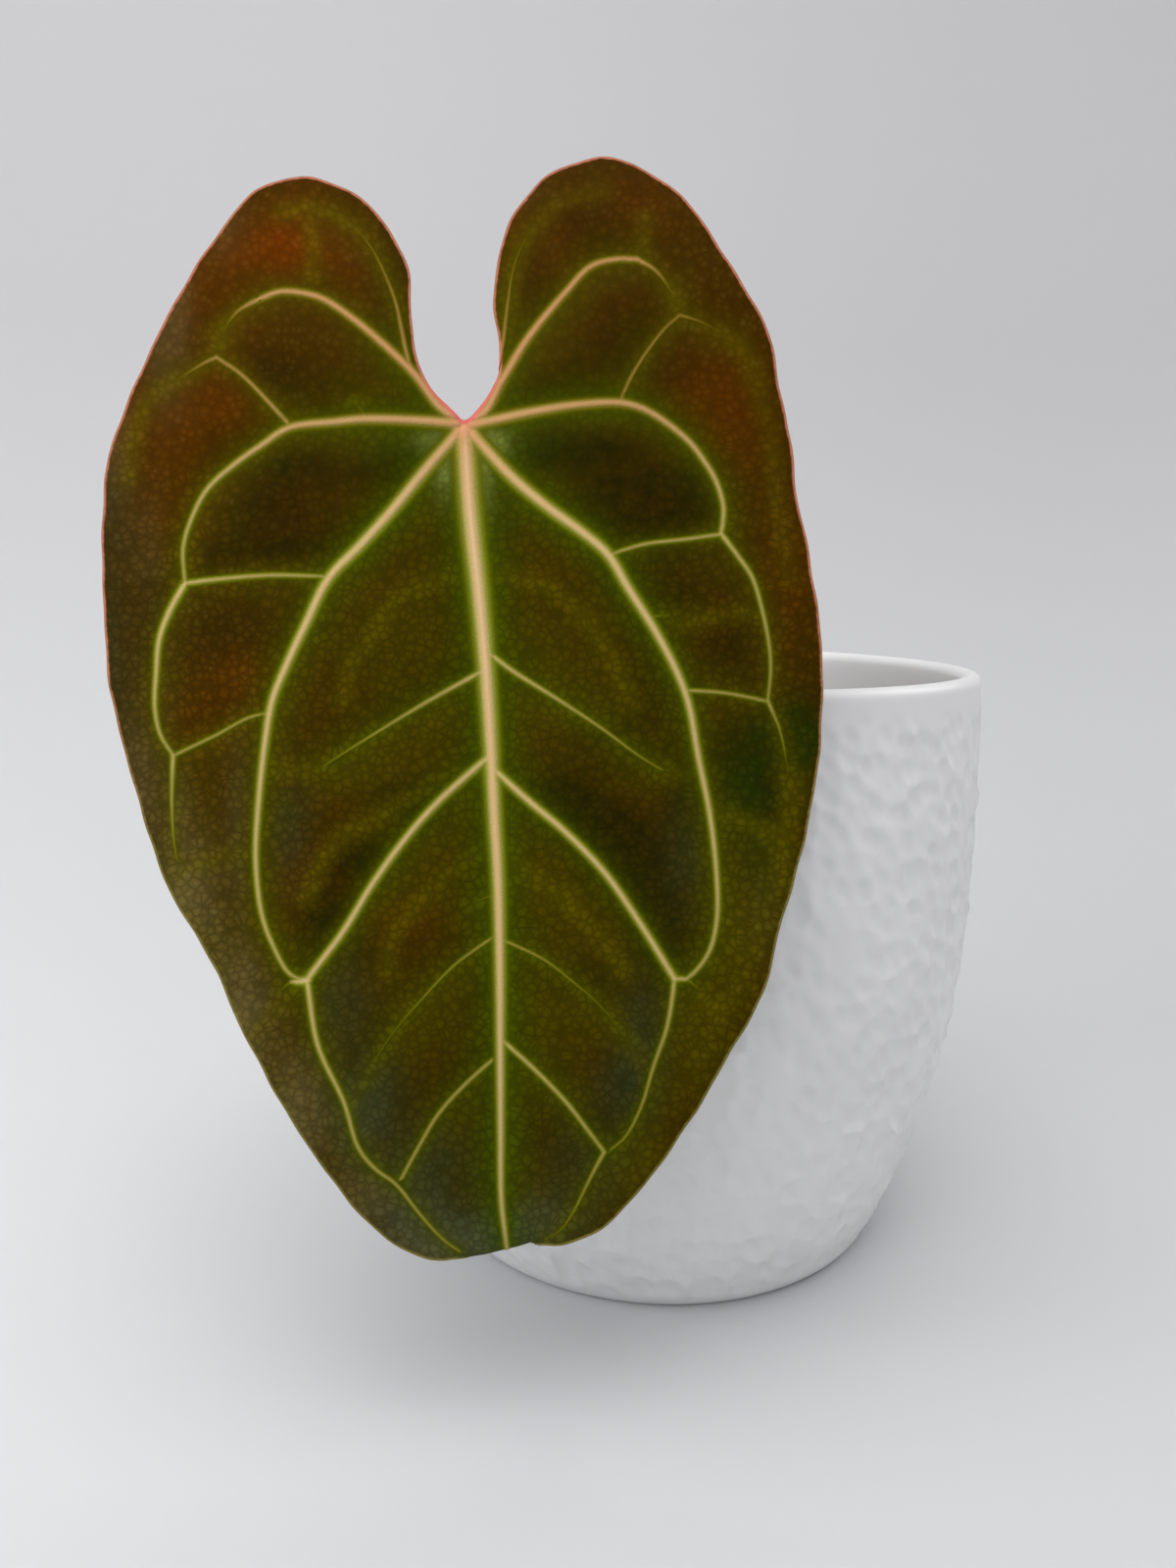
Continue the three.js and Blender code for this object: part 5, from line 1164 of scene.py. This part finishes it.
def vein_tube(name):
    """A vein's points in the plan, their heights over the blade's middle and their distances to the side, as
    rings along its line. A ring runs round the lens: x = B cos(a), height = sunk + rise (1 - (x/B)^2)^2."""
    widths, line = VEINS[name][:2], VEIN_LINES[name]
    reach = lengths_along(line)[-1]
    at = np.linspace(0, reach, max(4, round(reach / VEIN_TUBE_STEP)))
    line = at_lengths(line, at)
    width = np.linspace(*widths, len(at))[:, None]
    margin = nearest_on(MARGIN, line)[1][:, None]
    taper = smoothstep(-LEAST_TAPER, START_TAPER, at) * smoothstep(-LEAST_TAPER, END_TAPER, reach - at)
    taper = np.concatenate([[0], taper, [0]])[:, None]
    ends = [0, *range(len(at)), len(at) - 1]
    line, width, margin = line[ends], width[ends], margin[ends]
    along = np.gradient(line[1:-1], axis=0)[np.clip(np.array(ends), 0, len(at) - 1)]
    along /= np.linalg.norm(along, axis=1)[:, None]
    angle = 2 * np.pi * np.arange(RING) / RING
    half_width = np.minimum(VEIN_REACH[0] + VEIN_REACH[1] * width, margin + OVER_MARGIN) * np.sqrt(taper)
    x = half_width * np.cos(angle)
    lens = (1 - np.cos(angle) ** 2) ** 2
    front = SUNK + (FRONT_RISE[0] + FRONT_RISE[1] * width) * lens
    back = SUNK + (BACK_RISE[0] + BACK_RISE[1] * width) * lens
    height = np.where(np.sin(angle) >= 0, front, -back) * np.where(abs(np.sin(angle)) < 1e-9, 0, 1) * taper
    flat = np.stack([line[:, :1] - x * along[:, 1:], line[:, 1:] + x * along[:, :1]], axis=-1)
    return flat.reshape(-1, 2), height.ravel(), np.abs(x).ravel()


tubes = [vein_tube(name) for name in VEINS]
starts = np.cumsum([0, *(len(tube[1]) for tube in tubes)])
tube_faces = np.concatenate([
    grid_faces(len(tube[1]) // RING, RING, round_columns=True) + start for tube, start in zip(tubes, starts)
])
tube_plan, tube_height, tube_near = (np.concatenate([tube[part] for tube in tubes]) for part in range(3))
u, v = tube_plan.T
vein_points = raised(blade_middle(u, v, tube_near), blade_facing(u, v, tube_near), tube_height)
kept, tube_quads, tube_triangles = welded(vein_points, tube_faces)
vein_points, tube_plan, tube_height = vein_points[kept], tube_plan[kept], tube_height[kept]
veins = make_piece(
    "leaf_veins", in_pot_frame(vein_points), [tube_quads, tube_triangles], "leaf_blade",
    [upper_skin, lower_skin])
face_height = [tube_height[faces].mean(axis=1) for faces in (tube_quads, tube_triangles)]
veins.data.polygons.foreach_set("material_index", (np.concatenate(face_height) < 0).astype(int))
dress(veins.data, tube_plan, np.arange(len(tube_plan)))

# %% [markdown]
# ## The pot
#
# The pot is slip-cast earthenware under a white satin glaze. Its wall is covered with shallow round
# dents, as hammered copper is, and the glaze has run a little off the crests between them. A noise
# bump would look like orange peel. Real dents have a size and a spacing, so each one is placed, and the
# wall's depth at a point is the deepest of the bowls round it, with the crests rounded off.

# %% Pot profile
POT_WALL, POT_FLOOR = 4.4, 7.5
WALL_LINE = [(53.1, 3.2), (58.4, 15.8), (65.3, 39.5), (69.5, 65.8), (70.6, 98.7), (70.0, 129.4)]
FOOT_MIDDLE = [(0, 0), (25, 0)]
FOOT_CORNER = [(49.4, 0), (50.3, 0.08), (51.1, 0.4), (51.7, 1.0), (52.4, 2.0), (53.1, 3.2)]
LIP_CENTRE, LIP_RADIUS, LIP_ROWS = (67.8, 129.4), 2.2, 15
INNER_ROWS, INNER_START, INNER_CORNER = 30, 2, (3, 0.9)
DENT_BAND = (1.5, 6.0, 122.0, 127.5)  # the dents come in between the first two heights, and go out again
DENT_SPREAD, DENT_DEPTH = 4.4, (0.1, 0.85)
DENT_ROW, DENT_SCATTER, DENT_REACH = 0.86, 0.42, 0.62  # in spreads: row pitch, random shift and half width
DENT_SLANT, DENT_LENGTH = 0.4, 1.3  # dents lean over to one side and are longer than wide
CREST_ROUNDING, CREST_TOP = 0.04, 1.5
WALL_LEVEL = 0.7  # this share of the wall lies deeper than the drawn profile, and the rest stands out
PROFILE_STEP, POT_COLUMNS, POT_SEED = 0.8, 540, 31

outer_wall = smooth_line(WALL_LINE, PROFILE_STEP)
lip_angle = np.radians(np.linspace(0, 180, LIP_ROWS))
lip = np.array(LIP_CENTRE) + LIP_RADIUS * np.column_stack([np.cos(lip_angle), np.sin(lip_angle)])
inner_heights = np.linspace(LIP_CENTRE[1] - INNER_START, POT_FLOOR + INNER_CORNER[0], INNER_ROWS)
inner_reach = np.interp(inner_heights, outer_wall[:, 1], outer_wall[:, 0]) - POT_WALL
inner_wall = np.column_stack([inner_reach, inner_heights])
corner_reach = inner_reach[-1] - np.array(INNER_CORNER)
inside_floor = [
    (corner_reach[1], POT_FLOOR + INNER_CORNER[1]), (corner_reach[0], POT_FLOOR),
    (30, POT_FLOOR), (0, POT_FLOOR)]
profile = np.concatenate([FOOT_MIDDLE, FOOT_CORNER[:-1], outer_wall[:-1], lip, inner_wall, inside_floor])
wall_start = len(FOOT_MIDDLE) + len(FOOT_CORNER) - 1
wall_rows = slice(wall_start, wall_start + len(outer_wall) - 1)


def dents(angle, height, radius):
    """The dents' relief: the soft minimum over all dents of depth x ((distance / reach)^2 - 1). A soft
    minimum is -r log(sum exp(-x / r)), which rounds the crests."""
    random = np.random.default_rng(POT_SEED)
    # Even rows of dents, each pushed a random part of its spacing to all sides.
    rows = round((DENT_BAND[3] - DENT_BAND[0]) / (DENT_SPREAD * DENT_ROW)) + 1
    places = []
    for row in range(rows):
        row_height = DENT_BAND[0] + (row + 0.5) * (DENT_BAND[3] - DENT_BAND[0]) / rows
        row_radius = np.interp(row_height, outer_wall[:, 1], outer_wall[:, 0])
        number = round(2 * np.pi * row_radius / DENT_SPREAD)
        row_angle = 2 * np.pi * (np.arange(number) + 0.5 * (row % 2)) / number
        row_angle += random.uniform(-DENT_SCATTER, DENT_SCATTER, number) * DENT_SPREAD / row_radius
        row_heights = row_height + random.uniform(-DENT_SCATTER, DENT_SCATTER, number) * DENT_SPREAD
        places.append(np.column_stack([row_angle, row_heights, random.uniform(*DENT_DEPTH, number)]))
    places = np.concatenate(places)
    total = np.empty(len(angle))
    for start in range(0, len(angle), CHUNK):
        part = slice(start, start + CHUNK)
        turn = np.remainder(angle[part, None] - places[:, 0] + np.pi, 2 * np.pi) - np.pi
        rise = height[part, None] - places[:, 1]
        square = DENT_LENGTH * (turn * radius[part, None] + DENT_SLANT * rise) ** 2 + rise**2 / DENT_LENGTH
        bowl = places[:, 2] * (square / (DENT_REACH * DENT_SPREAD) ** 2 - 1)
        weights = np.exp(-np.minimum(bowl, CREST_TOP) / CREST_ROUNDING)
        total[part] = -CREST_ROUNDING * np.log(weights.sum(axis=1))
    print(len(places), "dents")
    return total


wall = profile[wall_rows]
wall_angle = np.tile(2 * np.pi * np.arange(POT_COLUMNS) / POT_COLUMNS, len(wall))
relief = dents(wall_angle, *(np.repeat(wall[:, axis], POT_COLUMNS) for axis in (1, 0)))
print("relief from", relief.min().round(2), "to", relief.max().round(2), "mm")
relief = (relief - np.quantile(relief, WALL_LEVEL)).reshape(len(wall), POT_COLUMNS)
strength = smoothstep(*DENT_BAND[:2], wall[:, 1:]) * (1 - smoothstep(*DENT_BAND[2:], wall[:, 1:]))
pot_reach = np.repeat(profile[:, :1], POT_COLUMNS, axis=1)
pot_reach[wall_rows] += strength * relief
pot_skin = ring_skin(circles(pot_reach, profile[:, 1:], POT_COLUMNS))

# %% Pot glaze
# White satin glaze on earthenware: bright, a little glassy, with faint waves and rare pinholes.
glaze, tree, shader = new_material(
    "white_satin_glaze", Roughness=0.34, IOR=1.5, Coat_Weight=0.3, Coat_Roughness=0.25)
position = add(tree, "TexCoord", out="Object")
cloud = add(tree, "TexNoise", None, position, Scale=28.0, Detail=3.0)
cloud = add(tree, "MapRange", None, cloud, From_Min=0.35, From_Max=0.65)
glaze_colour = add(tree, "Mix", MIX_COLOUR, cloud, "dfdfe0", "e6e6e6")
wave = add(tree, "TexNoise", None, position, Scale=300.0, Detail=2.0)
dress_shader(tree, shader, glaze_colour, wave, strength=0.25, depth=0.00008)
make_piece("glazed_pot", pot_skin[0], pot_skin[1:], "pot", [glaze])

# %% [markdown]
# ## Bark mix
#
# The roots grow in a coarse mix of bark chips, fibre and a little perlite. It was poured in, so it lies
# as a loose low mound. A displaced disc alone would look like mud. Chips and grains are made as one small
# shape each, stretched, turned and set down at random places, all as arrays.

# %% Mound, chips and grains
MIX_LEVEL, MIX_BOTTOM = 112.5, 9.0
MIX_MOUND, MIX_MOUND_REACH = 2.5, 45
MIX_MARGIN = 0.35
MIX_WAVES, MIX_PITCHES, MIX_SEED = 0.5, (17, 11, 7, 4.5, 3.4, 2.6), 52
MIX_ROWS, MIX_SIDE_ROWS, MIX_COLUMNS = 46, 12, 150
STEM_PLACE, STEM_CLEARANCE = (2.0, 4.0), 11
CHIPS, GRAINS = 640, 90
CHIP_GIRTHS, CHIP_END = (0.62, 1.0, 0.95, 0.55), 1.06
CHIP_CORNERS = 6
CHIP_TILT, CHIP_TWIST = 0.3, 0.35


def inside_radius(height):
    """The pot's inner radius at a height."""
    return np.interp(height, inner_wall[::-1, 1], inner_wall[::-1, 0])


def mound_height(x, y):
    """The level, a low mound in the middle and uneven waves."""
    mound = MIX_MOUND * (1 - smoothstep(0, MIX_MOUND_REACH, np.hypot(x, y)))
    return MIX_LEVEL + mound + MIX_WAVES * ripples(x, y, MIX_PITCHES, MIX_SEED)


edge = inside_radius(MIX_LEVEL - 1) - MIX_MARGIN
top_reach = np.linspace(0, edge, MIX_ROWS)
side_heights = np.linspace(MIX_BOTTOM + 3, MIX_LEVEL - 4, MIX_SIDE_ROWS)
mix_reach = np.concatenate([[0, 20], inside_radius(side_heights) - MIX_MARGIN, top_reach[::-1]])
mix_height = np.concatenate([[MIX_BOTTOM, MIX_BOTTOM], side_heights, top_reach])
mix_grid = circles(mix_reach[:, None], mix_height[:, None], MIX_COLUMNS)
top = mix_grid[-MIX_ROWS:]
top[..., 2] = mound_height(top[..., 0], top[..., 1])
bed = ring_skin(mix_grid)


def scatter(count, lengths, widths, heights, sink, lumpiness, seed):
    """Small closed lumps: rings of corners along a length, each lump stretched, made uneven, turned and set
    on the mound. Returns points, quads, triangles and a number from 0 to 1 for each point's lump."""
    random = np.random.default_rng(seed)
    girth = np.array(CHIP_GIRTHS)[:, None]
    along = np.linspace(-0.5, 0.5, len(girth))[:, None]
    rings = np.roll(circles(0.5 * girth, along, CHIP_CORNERS), 1, axis=-1)
    ends = np.repeat(rings.mean(axis=1)[[0, -1]][:, None], CHIP_CORNERS, axis=1) * CHIP_END
    lump, quads, triangles = ring_skin(np.concatenate([ends[:1], rings, ends[1:]]))
    size = np.column_stack([random.uniform(*limits, count) for limits in (lengths, widths, heights)])
    points = lump + random.normal(0, lumpiness, (count, len(lump), 3)) * [1, 0.5, 0.5]
    points = points * size[:, None]
    tip, twist, head = random.normal(0, CHIP_TILT, count), *random.uniform(0, 6.28, (2, count))
    for first, second, angle, share in ((1, 2, twist, CHIP_TWIST), (0, 2, tip, 1), (0, 1, head, 1)):
        a, b = points[..., first].copy(), points[..., second].copy()
        c, s = share * np.cos(angle)[:, None] + 1 - share, share * np.sin(angle)[:, None]
        points[..., first], points[..., second] = a * c - b * s, a * s + b * c
    reach = np.sqrt(random.uniform(0.02, 1, count)) * (edge - 0.5 - size[:, 0] / 2)
    around = random.uniform(0, 2 * np.pi, count)
    spot = np.column_stack([reach * np.cos(around), reach * np.sin(around)])
    from_stem = spot - STEM_PLACE
    gap = np.hypot(*from_stem.T)[:, None]
    spot = np.where(gap < STEM_CLEARANCE, STEM_PLACE + from_stem / gap * STEM_CLEARANCE, spot)
    lift = mound_height(*spot.T) + size[:, 2] * random.uniform(*sink, count)
    points += np.column_stack([spot, lift])[:, None]
    number = np.arange(count)[:, None, None] * len(lump)
    tint = np.repeat(random.uniform(0, 1, count), len(lump))
    return points.reshape(-1, 3), (quads + number).reshape(-1, 4), (triangles + number).reshape(-1, 3), tint


def crumb(name, dark, pale, scale, roughness, relief):
    """A rough natural stuff: each lump's tint mixes two colours, and a grain goes over it."""
    material, tree, shader = new_material(name, Roughness=roughness)
    position = add(tree, "TexCoord", out="Object")
    tint = add(tree, "Attribute", {"attribute_name": "tint"}, out="Fac")
    grain = add(tree, "TexNoise", None, position, Scale=scale, Detail=5.0, Roughness=0.7)
    colour = add(tree, "Mix", MIX_COLOUR, tint, dark, pale)
    shade = add(tree, "MapRange", None, grain, 0.3, 0.7, 0.6, 1.25)
    colour = add(tree, "Mix", MULTIPLY_COLOUR, 1.0, colour, shade)
    dress_shader(tree, shader, colour, grain, strength=0.8, depth=relief)
    return material


# Wet peat is nearly black and dull, pine bark is brown with paler broken faces, and perlite is a white glass
# foam. Each has its scale in grains to the metre, its roughness and the depth of its grain in metres.
soil_finish = crumb("damp_peat_and_fibre", "1d120b", "3a2517", 900, 0.9, 0.0006)
bark_finish = crumb("composted_pine_bark", "2c1a10", "7c5a3e", 500, 0.8, 0.0004)
grain_finish = crumb("expanded_perlite", "cfc9bb", "efece4", 900, 0.85, 0.0003)
make_piece("bark_mix_bed", bed[0], bed[1:], "potting_mix", [soil_finish])
chips = scatter(CHIPS, (5, 13), (3, 6.5), (1.6, 3.4), (0.05, 0.45), 0.07, 53)
grains = scatter(GRAINS, (1.8, 3.6), (1.6, 3), (1.4, 2.6), (0.6, 1.2), 0.1, 54)
for name, (points, *faces, tint), finish in (
    ("bark_chips", chips, bark_finish), ("perlite_grains", grains, grain_finish)
):
    piece = make_piece(name, points, faces, "potting_mix", [finish])
    store(piece.data, "tint", "FLOAT", "POINT", tint)

# %% [markdown]
# ## Stem, roots and stalk
#
# The stem is short and woody, ringed by the scars of fallen leaves. Thick aerial roots come out of it and
# arch down into the bark. The leaf stalk rises from its top, leans over the rim and ends in a swollen
# joint behind the notch of the blade, which lets the plant turn its leaf to the light. All of them are
# tubes along a smooth line, with a radius that changes along the way.

# %% Tubes
BUMP_PITCHES, END_SHRINK = (9, 5.2, 3.1, 2.2), 0.7


def tube(line, radii, flat_side, sides, bumps, seed):
    """Rings round a line: point + r (cos(a) side + sin(a) up), where up = along x side, and side is flat_side
    made square to the line. The ends shrink to a point. Returns the points, the quads and the triangles."""
    along = np.gradient(line, axis=0)
    along /= np.linalg.norm(along, axis=1)[:, None]
    side = flat_side - (along @ flat_side)[:, None] * along
    side /= np.linalg.norm(side, axis=1)[:, None]
    up = np.cross(along, side)
    angle = 2 * np.pi * np.arange(sides) / sides
    steps = lengths_along(line)[:, None]
    radii = np.asarray(radii)[:, None] * np.ones(sides)
    radii = radii + bumps * ripples(angle * 3 + 0 * steps, steps, BUMP_PITCHES, seed)
    radii = np.concatenate([
        0 * radii[:1], END_SHRINK * radii[:1], radii[1:-1], END_SHRINK * radii[-1:], 0 * radii[-1:]])
    rows = [0, *range(len(line)), len(line) - 1]
    outward = np.cos(angle)[:, None] * side[rows][:, None] + np.sin(angle)[:, None] * up[rows][:, None]
    return ring_skin(line[rows][:, None] + radii[..., None] * outward)


def joined(parts):
    """Several (points, quads, triangles) as one."""
    starts = np.cumsum([0, *(len(part[0]) for part in parts)])
    points, *kinds = zip(*parts)
    return np.concatenate(points), *(
        np.concatenate([faces + start for faces, start in zip(kind, starts)]) for kind in kinds
    )


# %% Stem and aerial roots
STEM_FOOT, STEM_TOP, STEM_RINGS = 88.0, 125.0, 90
STEM_RADIUS, STEM_TAPER = 6.4, 0.12
STEM_CROWN = (1.6, 2.2)  # how much the radius shrinks, and over which height, at the top
SCAR_PITCH, SCAR_HEIGHT = 6.0, 0.5
ROOT_ANGLES = (20, 95, 168, 236, 305)
# [distance from the stem's axis, height]
ROOT_LINE = np.array([(3.5, 117.5), (9.5, 118.8), (14, 116.5), (17, 110.5), (18, 100)])
ROOT_RADIUS, ROOT_TURN = (1.35, 1.0), 0.05

height = np.linspace(STEM_FOOT, STEM_TOP, STEM_RINGS)
share = (height - STEM_FOOT) / (STEM_TOP - STEM_FOOT)
scar = np.cos(np.pi * (height - STEM_FOOT) / SCAR_PITCH) ** 2
stem_radii = STEM_RADIUS * (1 - STEM_TAPER * share) + SCAR_HEIGHT * scar**3
stem_radii -= STEM_CROWN[0] * smoothstep(STEM_TOP - STEM_CROWN[1], STEM_TOP, height) ** 2
stem_line = np.column_stack([np.tile(STEM_PLACE, (STEM_RINGS, 1)), height])
stem_shape = tube(stem_line, stem_radii, np.array([1.0, 0, 0]), sides=48, bumps=0.22, seed=61)
roots = []
for number, angle in enumerate(np.radians(ROOT_ANGLES)):
    turns = angle + ROOT_TURN * np.arange(len(ROOT_LINE))
    out = ROOT_LINE[:, :1] * np.column_stack([np.cos(turns), np.sin(turns)])
    line = smooth_line(np.column_stack([out + STEM_PLACE, ROOT_LINE[:, 1]]), 0.5)
    radii = np.linspace(*ROOT_RADIUS, len(line))
    sideways = np.array([-math.sin(angle), math.cos(angle), 0])
    roots.append(tube(line, radii, sideways, sides=18, bumps=0.09, seed=62 + number))


def bark(name, dark, pale, stretch, roughness, relief):
    """A fibrous skin: noise drawn out along the height mixes two colours and gives the relief."""
    material, tree, shader = new_material(name, Roughness=roughness)
    position = add(tree, "TexCoord", out="Object")
    drawn = add(tree, "Mapping", None, position, Scale=stretch)
    fibre = add(tree, "TexNoise", None, drawn, Scale=1000.0, Detail=4.0, Roughness=0.65)
    fibre = add(tree, "MapRange", SMOOTH_RANGE, fibre, From_Min=0.35, From_Max=0.65)
    blots = add(tree, "TexNoise", None, position, Scale=170.0, Detail=3.0)
    both = add(tree, "Math", "MULTIPLY_ADD", blots, 0.9, -0.2)
    both = add(tree, "Math", MULTIPLY_ADD_WITHIN, fibre, 0.5, both)
    colour = add(tree, "Mix", MIX_COLOUR, both, dark, pale)
    dress_shader(tree, shader, colour, fibre, strength=0.7, depth=relief)
    return material


# Old stem is fibrous and green brown, and aerial roots have a pale felt of dead cells that drinks water.
stem_finish = bark("fibrous_green_brown_stem", "4a3f22", "857b45", (1, 1, 0.35), 0.7, 0.0003)
root_finish = bark("felted_aerial_root", "8a7550", "b9a67c", (1, 1, 1), 0.85, 0.0001)
make_piece("ringed_stem", stem_shape[0], stem_shape[1:], "stem", [stem_finish])
root_shape = joined(roots)
make_piece("aerial_roots", root_shape[0], root_shape[1:], "stem", [root_finish])

# %% Leaf stalk
STALK_RADIUS, STALK_FOOT = (3.3, 2.3, 2.1), 0.3  # at the foot, after this share of the length, at the end
STALK_LINE = [(1.2, 2.2, 139), (-4.5, -8, 159), (-16, -30, 172), (-28, -52, 174.5)]
STALK_END = (0.2, -3.6)
STALK_DEPTH = -1.1  # how far its end reaches over the blade's middle, so minus is behind it
JOINT_LENGTH, JOINT_SWELL = 15.0, 0.85
SWELLING = (1.25, 0.8)  # the joint swells between these shares of its length, seen from the end
TINTING, TINT_TOP = (0.8, 1.2), 0.65

end_at = [np.array([part]) for part in STALK_END]
end = in_pot_frame(blade_middle(*end_at, np.zeros(1)) + [0, 0, STALK_DEPTH])[0]
line = smooth_line([(*STEM_PLACE, STEM_TOP - 1), *STALK_LINE, end], 0.8)
share = lengths_along(line) / lengths_along(line)[-1]
joint_share = JOINT_LENGTH / lengths_along(line)[-1]
foot = STALK_RADIUS[0] + (STALK_RADIUS[1] - STALK_RADIUS[0]) * smoothstep(0, STALK_FOOT, share)
stalk_radii = np.where(share < STALK_FOOT, foot, np.interp(share, [STALK_FOOT, 1], STALK_RADIUS[1:]))
stalk_radii += JOINT_SWELL * smoothstep(*(1 - part * joint_share for part in SWELLING), share)
stalk_shape = tube(line, stalk_radii, np.array([1.0, 0, 0]), sides=28, bumps=0.02, seed=71)

# A leaf stalk has a smooth waxy skin over green flesh, which lets a little light in.
stalk_finish, tree, shader = new_material("smooth_green_leaf_stalk", Roughness=0.42, Subsurface_Weight=0.05)
shader.inputs["Subsurface Radius"].default_value = (0.002, 0.003, 0.001)
position = add(tree, "TexCoord", out="Object")
near_joint = add(tree, "Attribute", {"attribute_name": "near_joint"}, out="Fac")
streaks = add(tree, "TexNoise", None, position, Scale=260.0, Detail=3.0)
streaks = add(tree, "MapRange", SMOOTH_RANGE, streaks, From_Min=0.35, From_Max=0.65)
green = add(tree, "Mix", MIX_COLOUR, streaks, "5a6b2c", "77863f")
stalk_colour = add(tree, "Mix", MIX_COLOUR, near_joint, green, "8a6a3e")
flecks = add(tree, "TexVoronoi", None, position, Scale=420.0)
flecks = add(tree, "MapRange", None, flecks, 0.1, 0.2, 0.72, 1.0)
stalk_colour = add(tree, "Mix", MULTIPLY_COLOUR, 1.0, stalk_colour, flecks)
fine = add(tree, "TexNoise", None, position, Scale=1500.0)
dress_shader(tree, shader, stalk_colour, fine, strength=0.3, depth=0.00008)
stalk = make_piece("leaf_stalk", stalk_shape[0], stalk_shape[1:], "petiole", [stalk_finish])
from_end = np.linalg.norm(stalk_shape[0] - end, axis=1) / JOINT_LENGTH
store(stalk.data, "near_joint", "FLOAT", "POINT", TINT_TOP * (1 - smoothstep(*TINTING, from_end)))

# %% [markdown]
# ## Papery sheaths
#
# Each new leaf comes out of a bud sheath, which dries, splits into fibres and stays on the stem. A sheath
# is a thin sheet wrapped round the stem that narrows to a tip. It has a front and a back, closed at the
# rim as the blade is.

# %% Sheaths
# [direction and half width in degrees, height]
SHEATHS = [(55, 50, 27), (166, 46, 20)]
SHEATH_BASE, SHEATH_THICKNESS, SHEATH_GAP = 121.2, 0.7, 0.4
SHEATH_LEAN, SHEATH_LEAN_FROM, SHEATH_OUT = 1.3, (0.2, 0.7), 2  # it leans in, and its tip bends out again
SHEATH_NARROWING, SHEATH_POWER = 0.93, 1.6
SHEATH_ROWS, SHEATH_COLUMNS = 60, 44
FIBRE_DEPTH, FIBRE_PITCHES = 0.12, (2.1, 1.3, 3.3, 0.9)
RAGGED_DEPTH, RAGGED_PITCHES = 0.6, (2.3, 1.1, 0.7)


def sheath(direction, half_width, height, seed):
    """A sheath's points and faces: reach = stem + gap - lean smoothstep(rise) + out rise^3, and the half
    width shrinks as 1 - narrowing rise^power."""
    rows, columns = np.linspace(0, 1, SHEATH_ROWS), np.linspace(-1, 1, SHEATH_COLUMNS)
    rise, across = np.meshgrid(rows, columns, indexing="ij")
    reach = STEM_RADIUS * (1 - STEM_TAPER) + SCAR_HEIGHT + SHEATH_GAP
    reach = reach - SHEATH_LEAN * smoothstep(*SHEATH_LEAN_FROM, rise) + SHEATH_OUT * rise**3
    angle = np.radians(direction + half_width * (1 - SHEATH_NARROWING * rise**SHEATH_POWER) * across)
    fibres = FIBRE_DEPTH * ripples(across * 14, rise * 3, FIBRE_PITCHES, seed)
    ragged = RAGGED_DEPTH * ripples(across * 5, rise, RAGGED_PITCHES, seed + 1)
    z = SHEATH_BASE + (height + ragged) * rise
    sheets = []
    for extra in (SHEATH_THICKNESS, 0):
        out = reach + extra + fibres
        x, y = STEM_PLACE[0] + out * np.cos(angle), STEM_PLACE[1] + out * np.sin(angle)
        sheets.append(np.stack([x, y, z], axis=-1))
    points = np.concatenate(sheets).reshape(-1, 3)
    quads = grid_faces(SHEATH_ROWS, SHEATH_COLUMNS)
    count = SHEATH_ROWS * SHEATH_COLUMNS
    a, b = rim_of([quads], count).T
    faces = np.concatenate([quads, quads[:, ::-1] + count, np.column_stack([b, a, a + count, b + count])])
    return points, faces


# A dry bud sheath is thin, dull and brown, with fine fibres that run up to its tip.
sheath_finish = bark("dry_papery_sheath", "6a4528", "a98357", (1, 1, 0.12), 0.75, 0.0001)
for number, (direction, half_width, height) in enumerate(SHEATHS, 1):
    points, faces = sheath(direction, half_width, height, seed=80 + number)
    make_piece(f"bud_sheath_{number}", points, [faces], f"sheath_{number}", [sheath_finish])

# %% [markdown]
# ## Sizes
#
# The finished surfaces must not change the size of the model, so both boxes are written down.

# %% Box sizes
NEW_BOX = [list(corner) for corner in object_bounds()]
for axis, label in enumerate("xyz"):
    before, after = (box[1][axis] - box[0][axis] for box in (CAD_BOX, NEW_BOX))
    shifts = [round((NEW_BOX[end][axis] - CAD_BOX[end][axis]) / before * 100, 2) for end in (0, 1)]
    print(f"{label}: {before * 1000:.1f} mm before, {after * 1000:.1f} mm after, ends moved by {shifts} %")
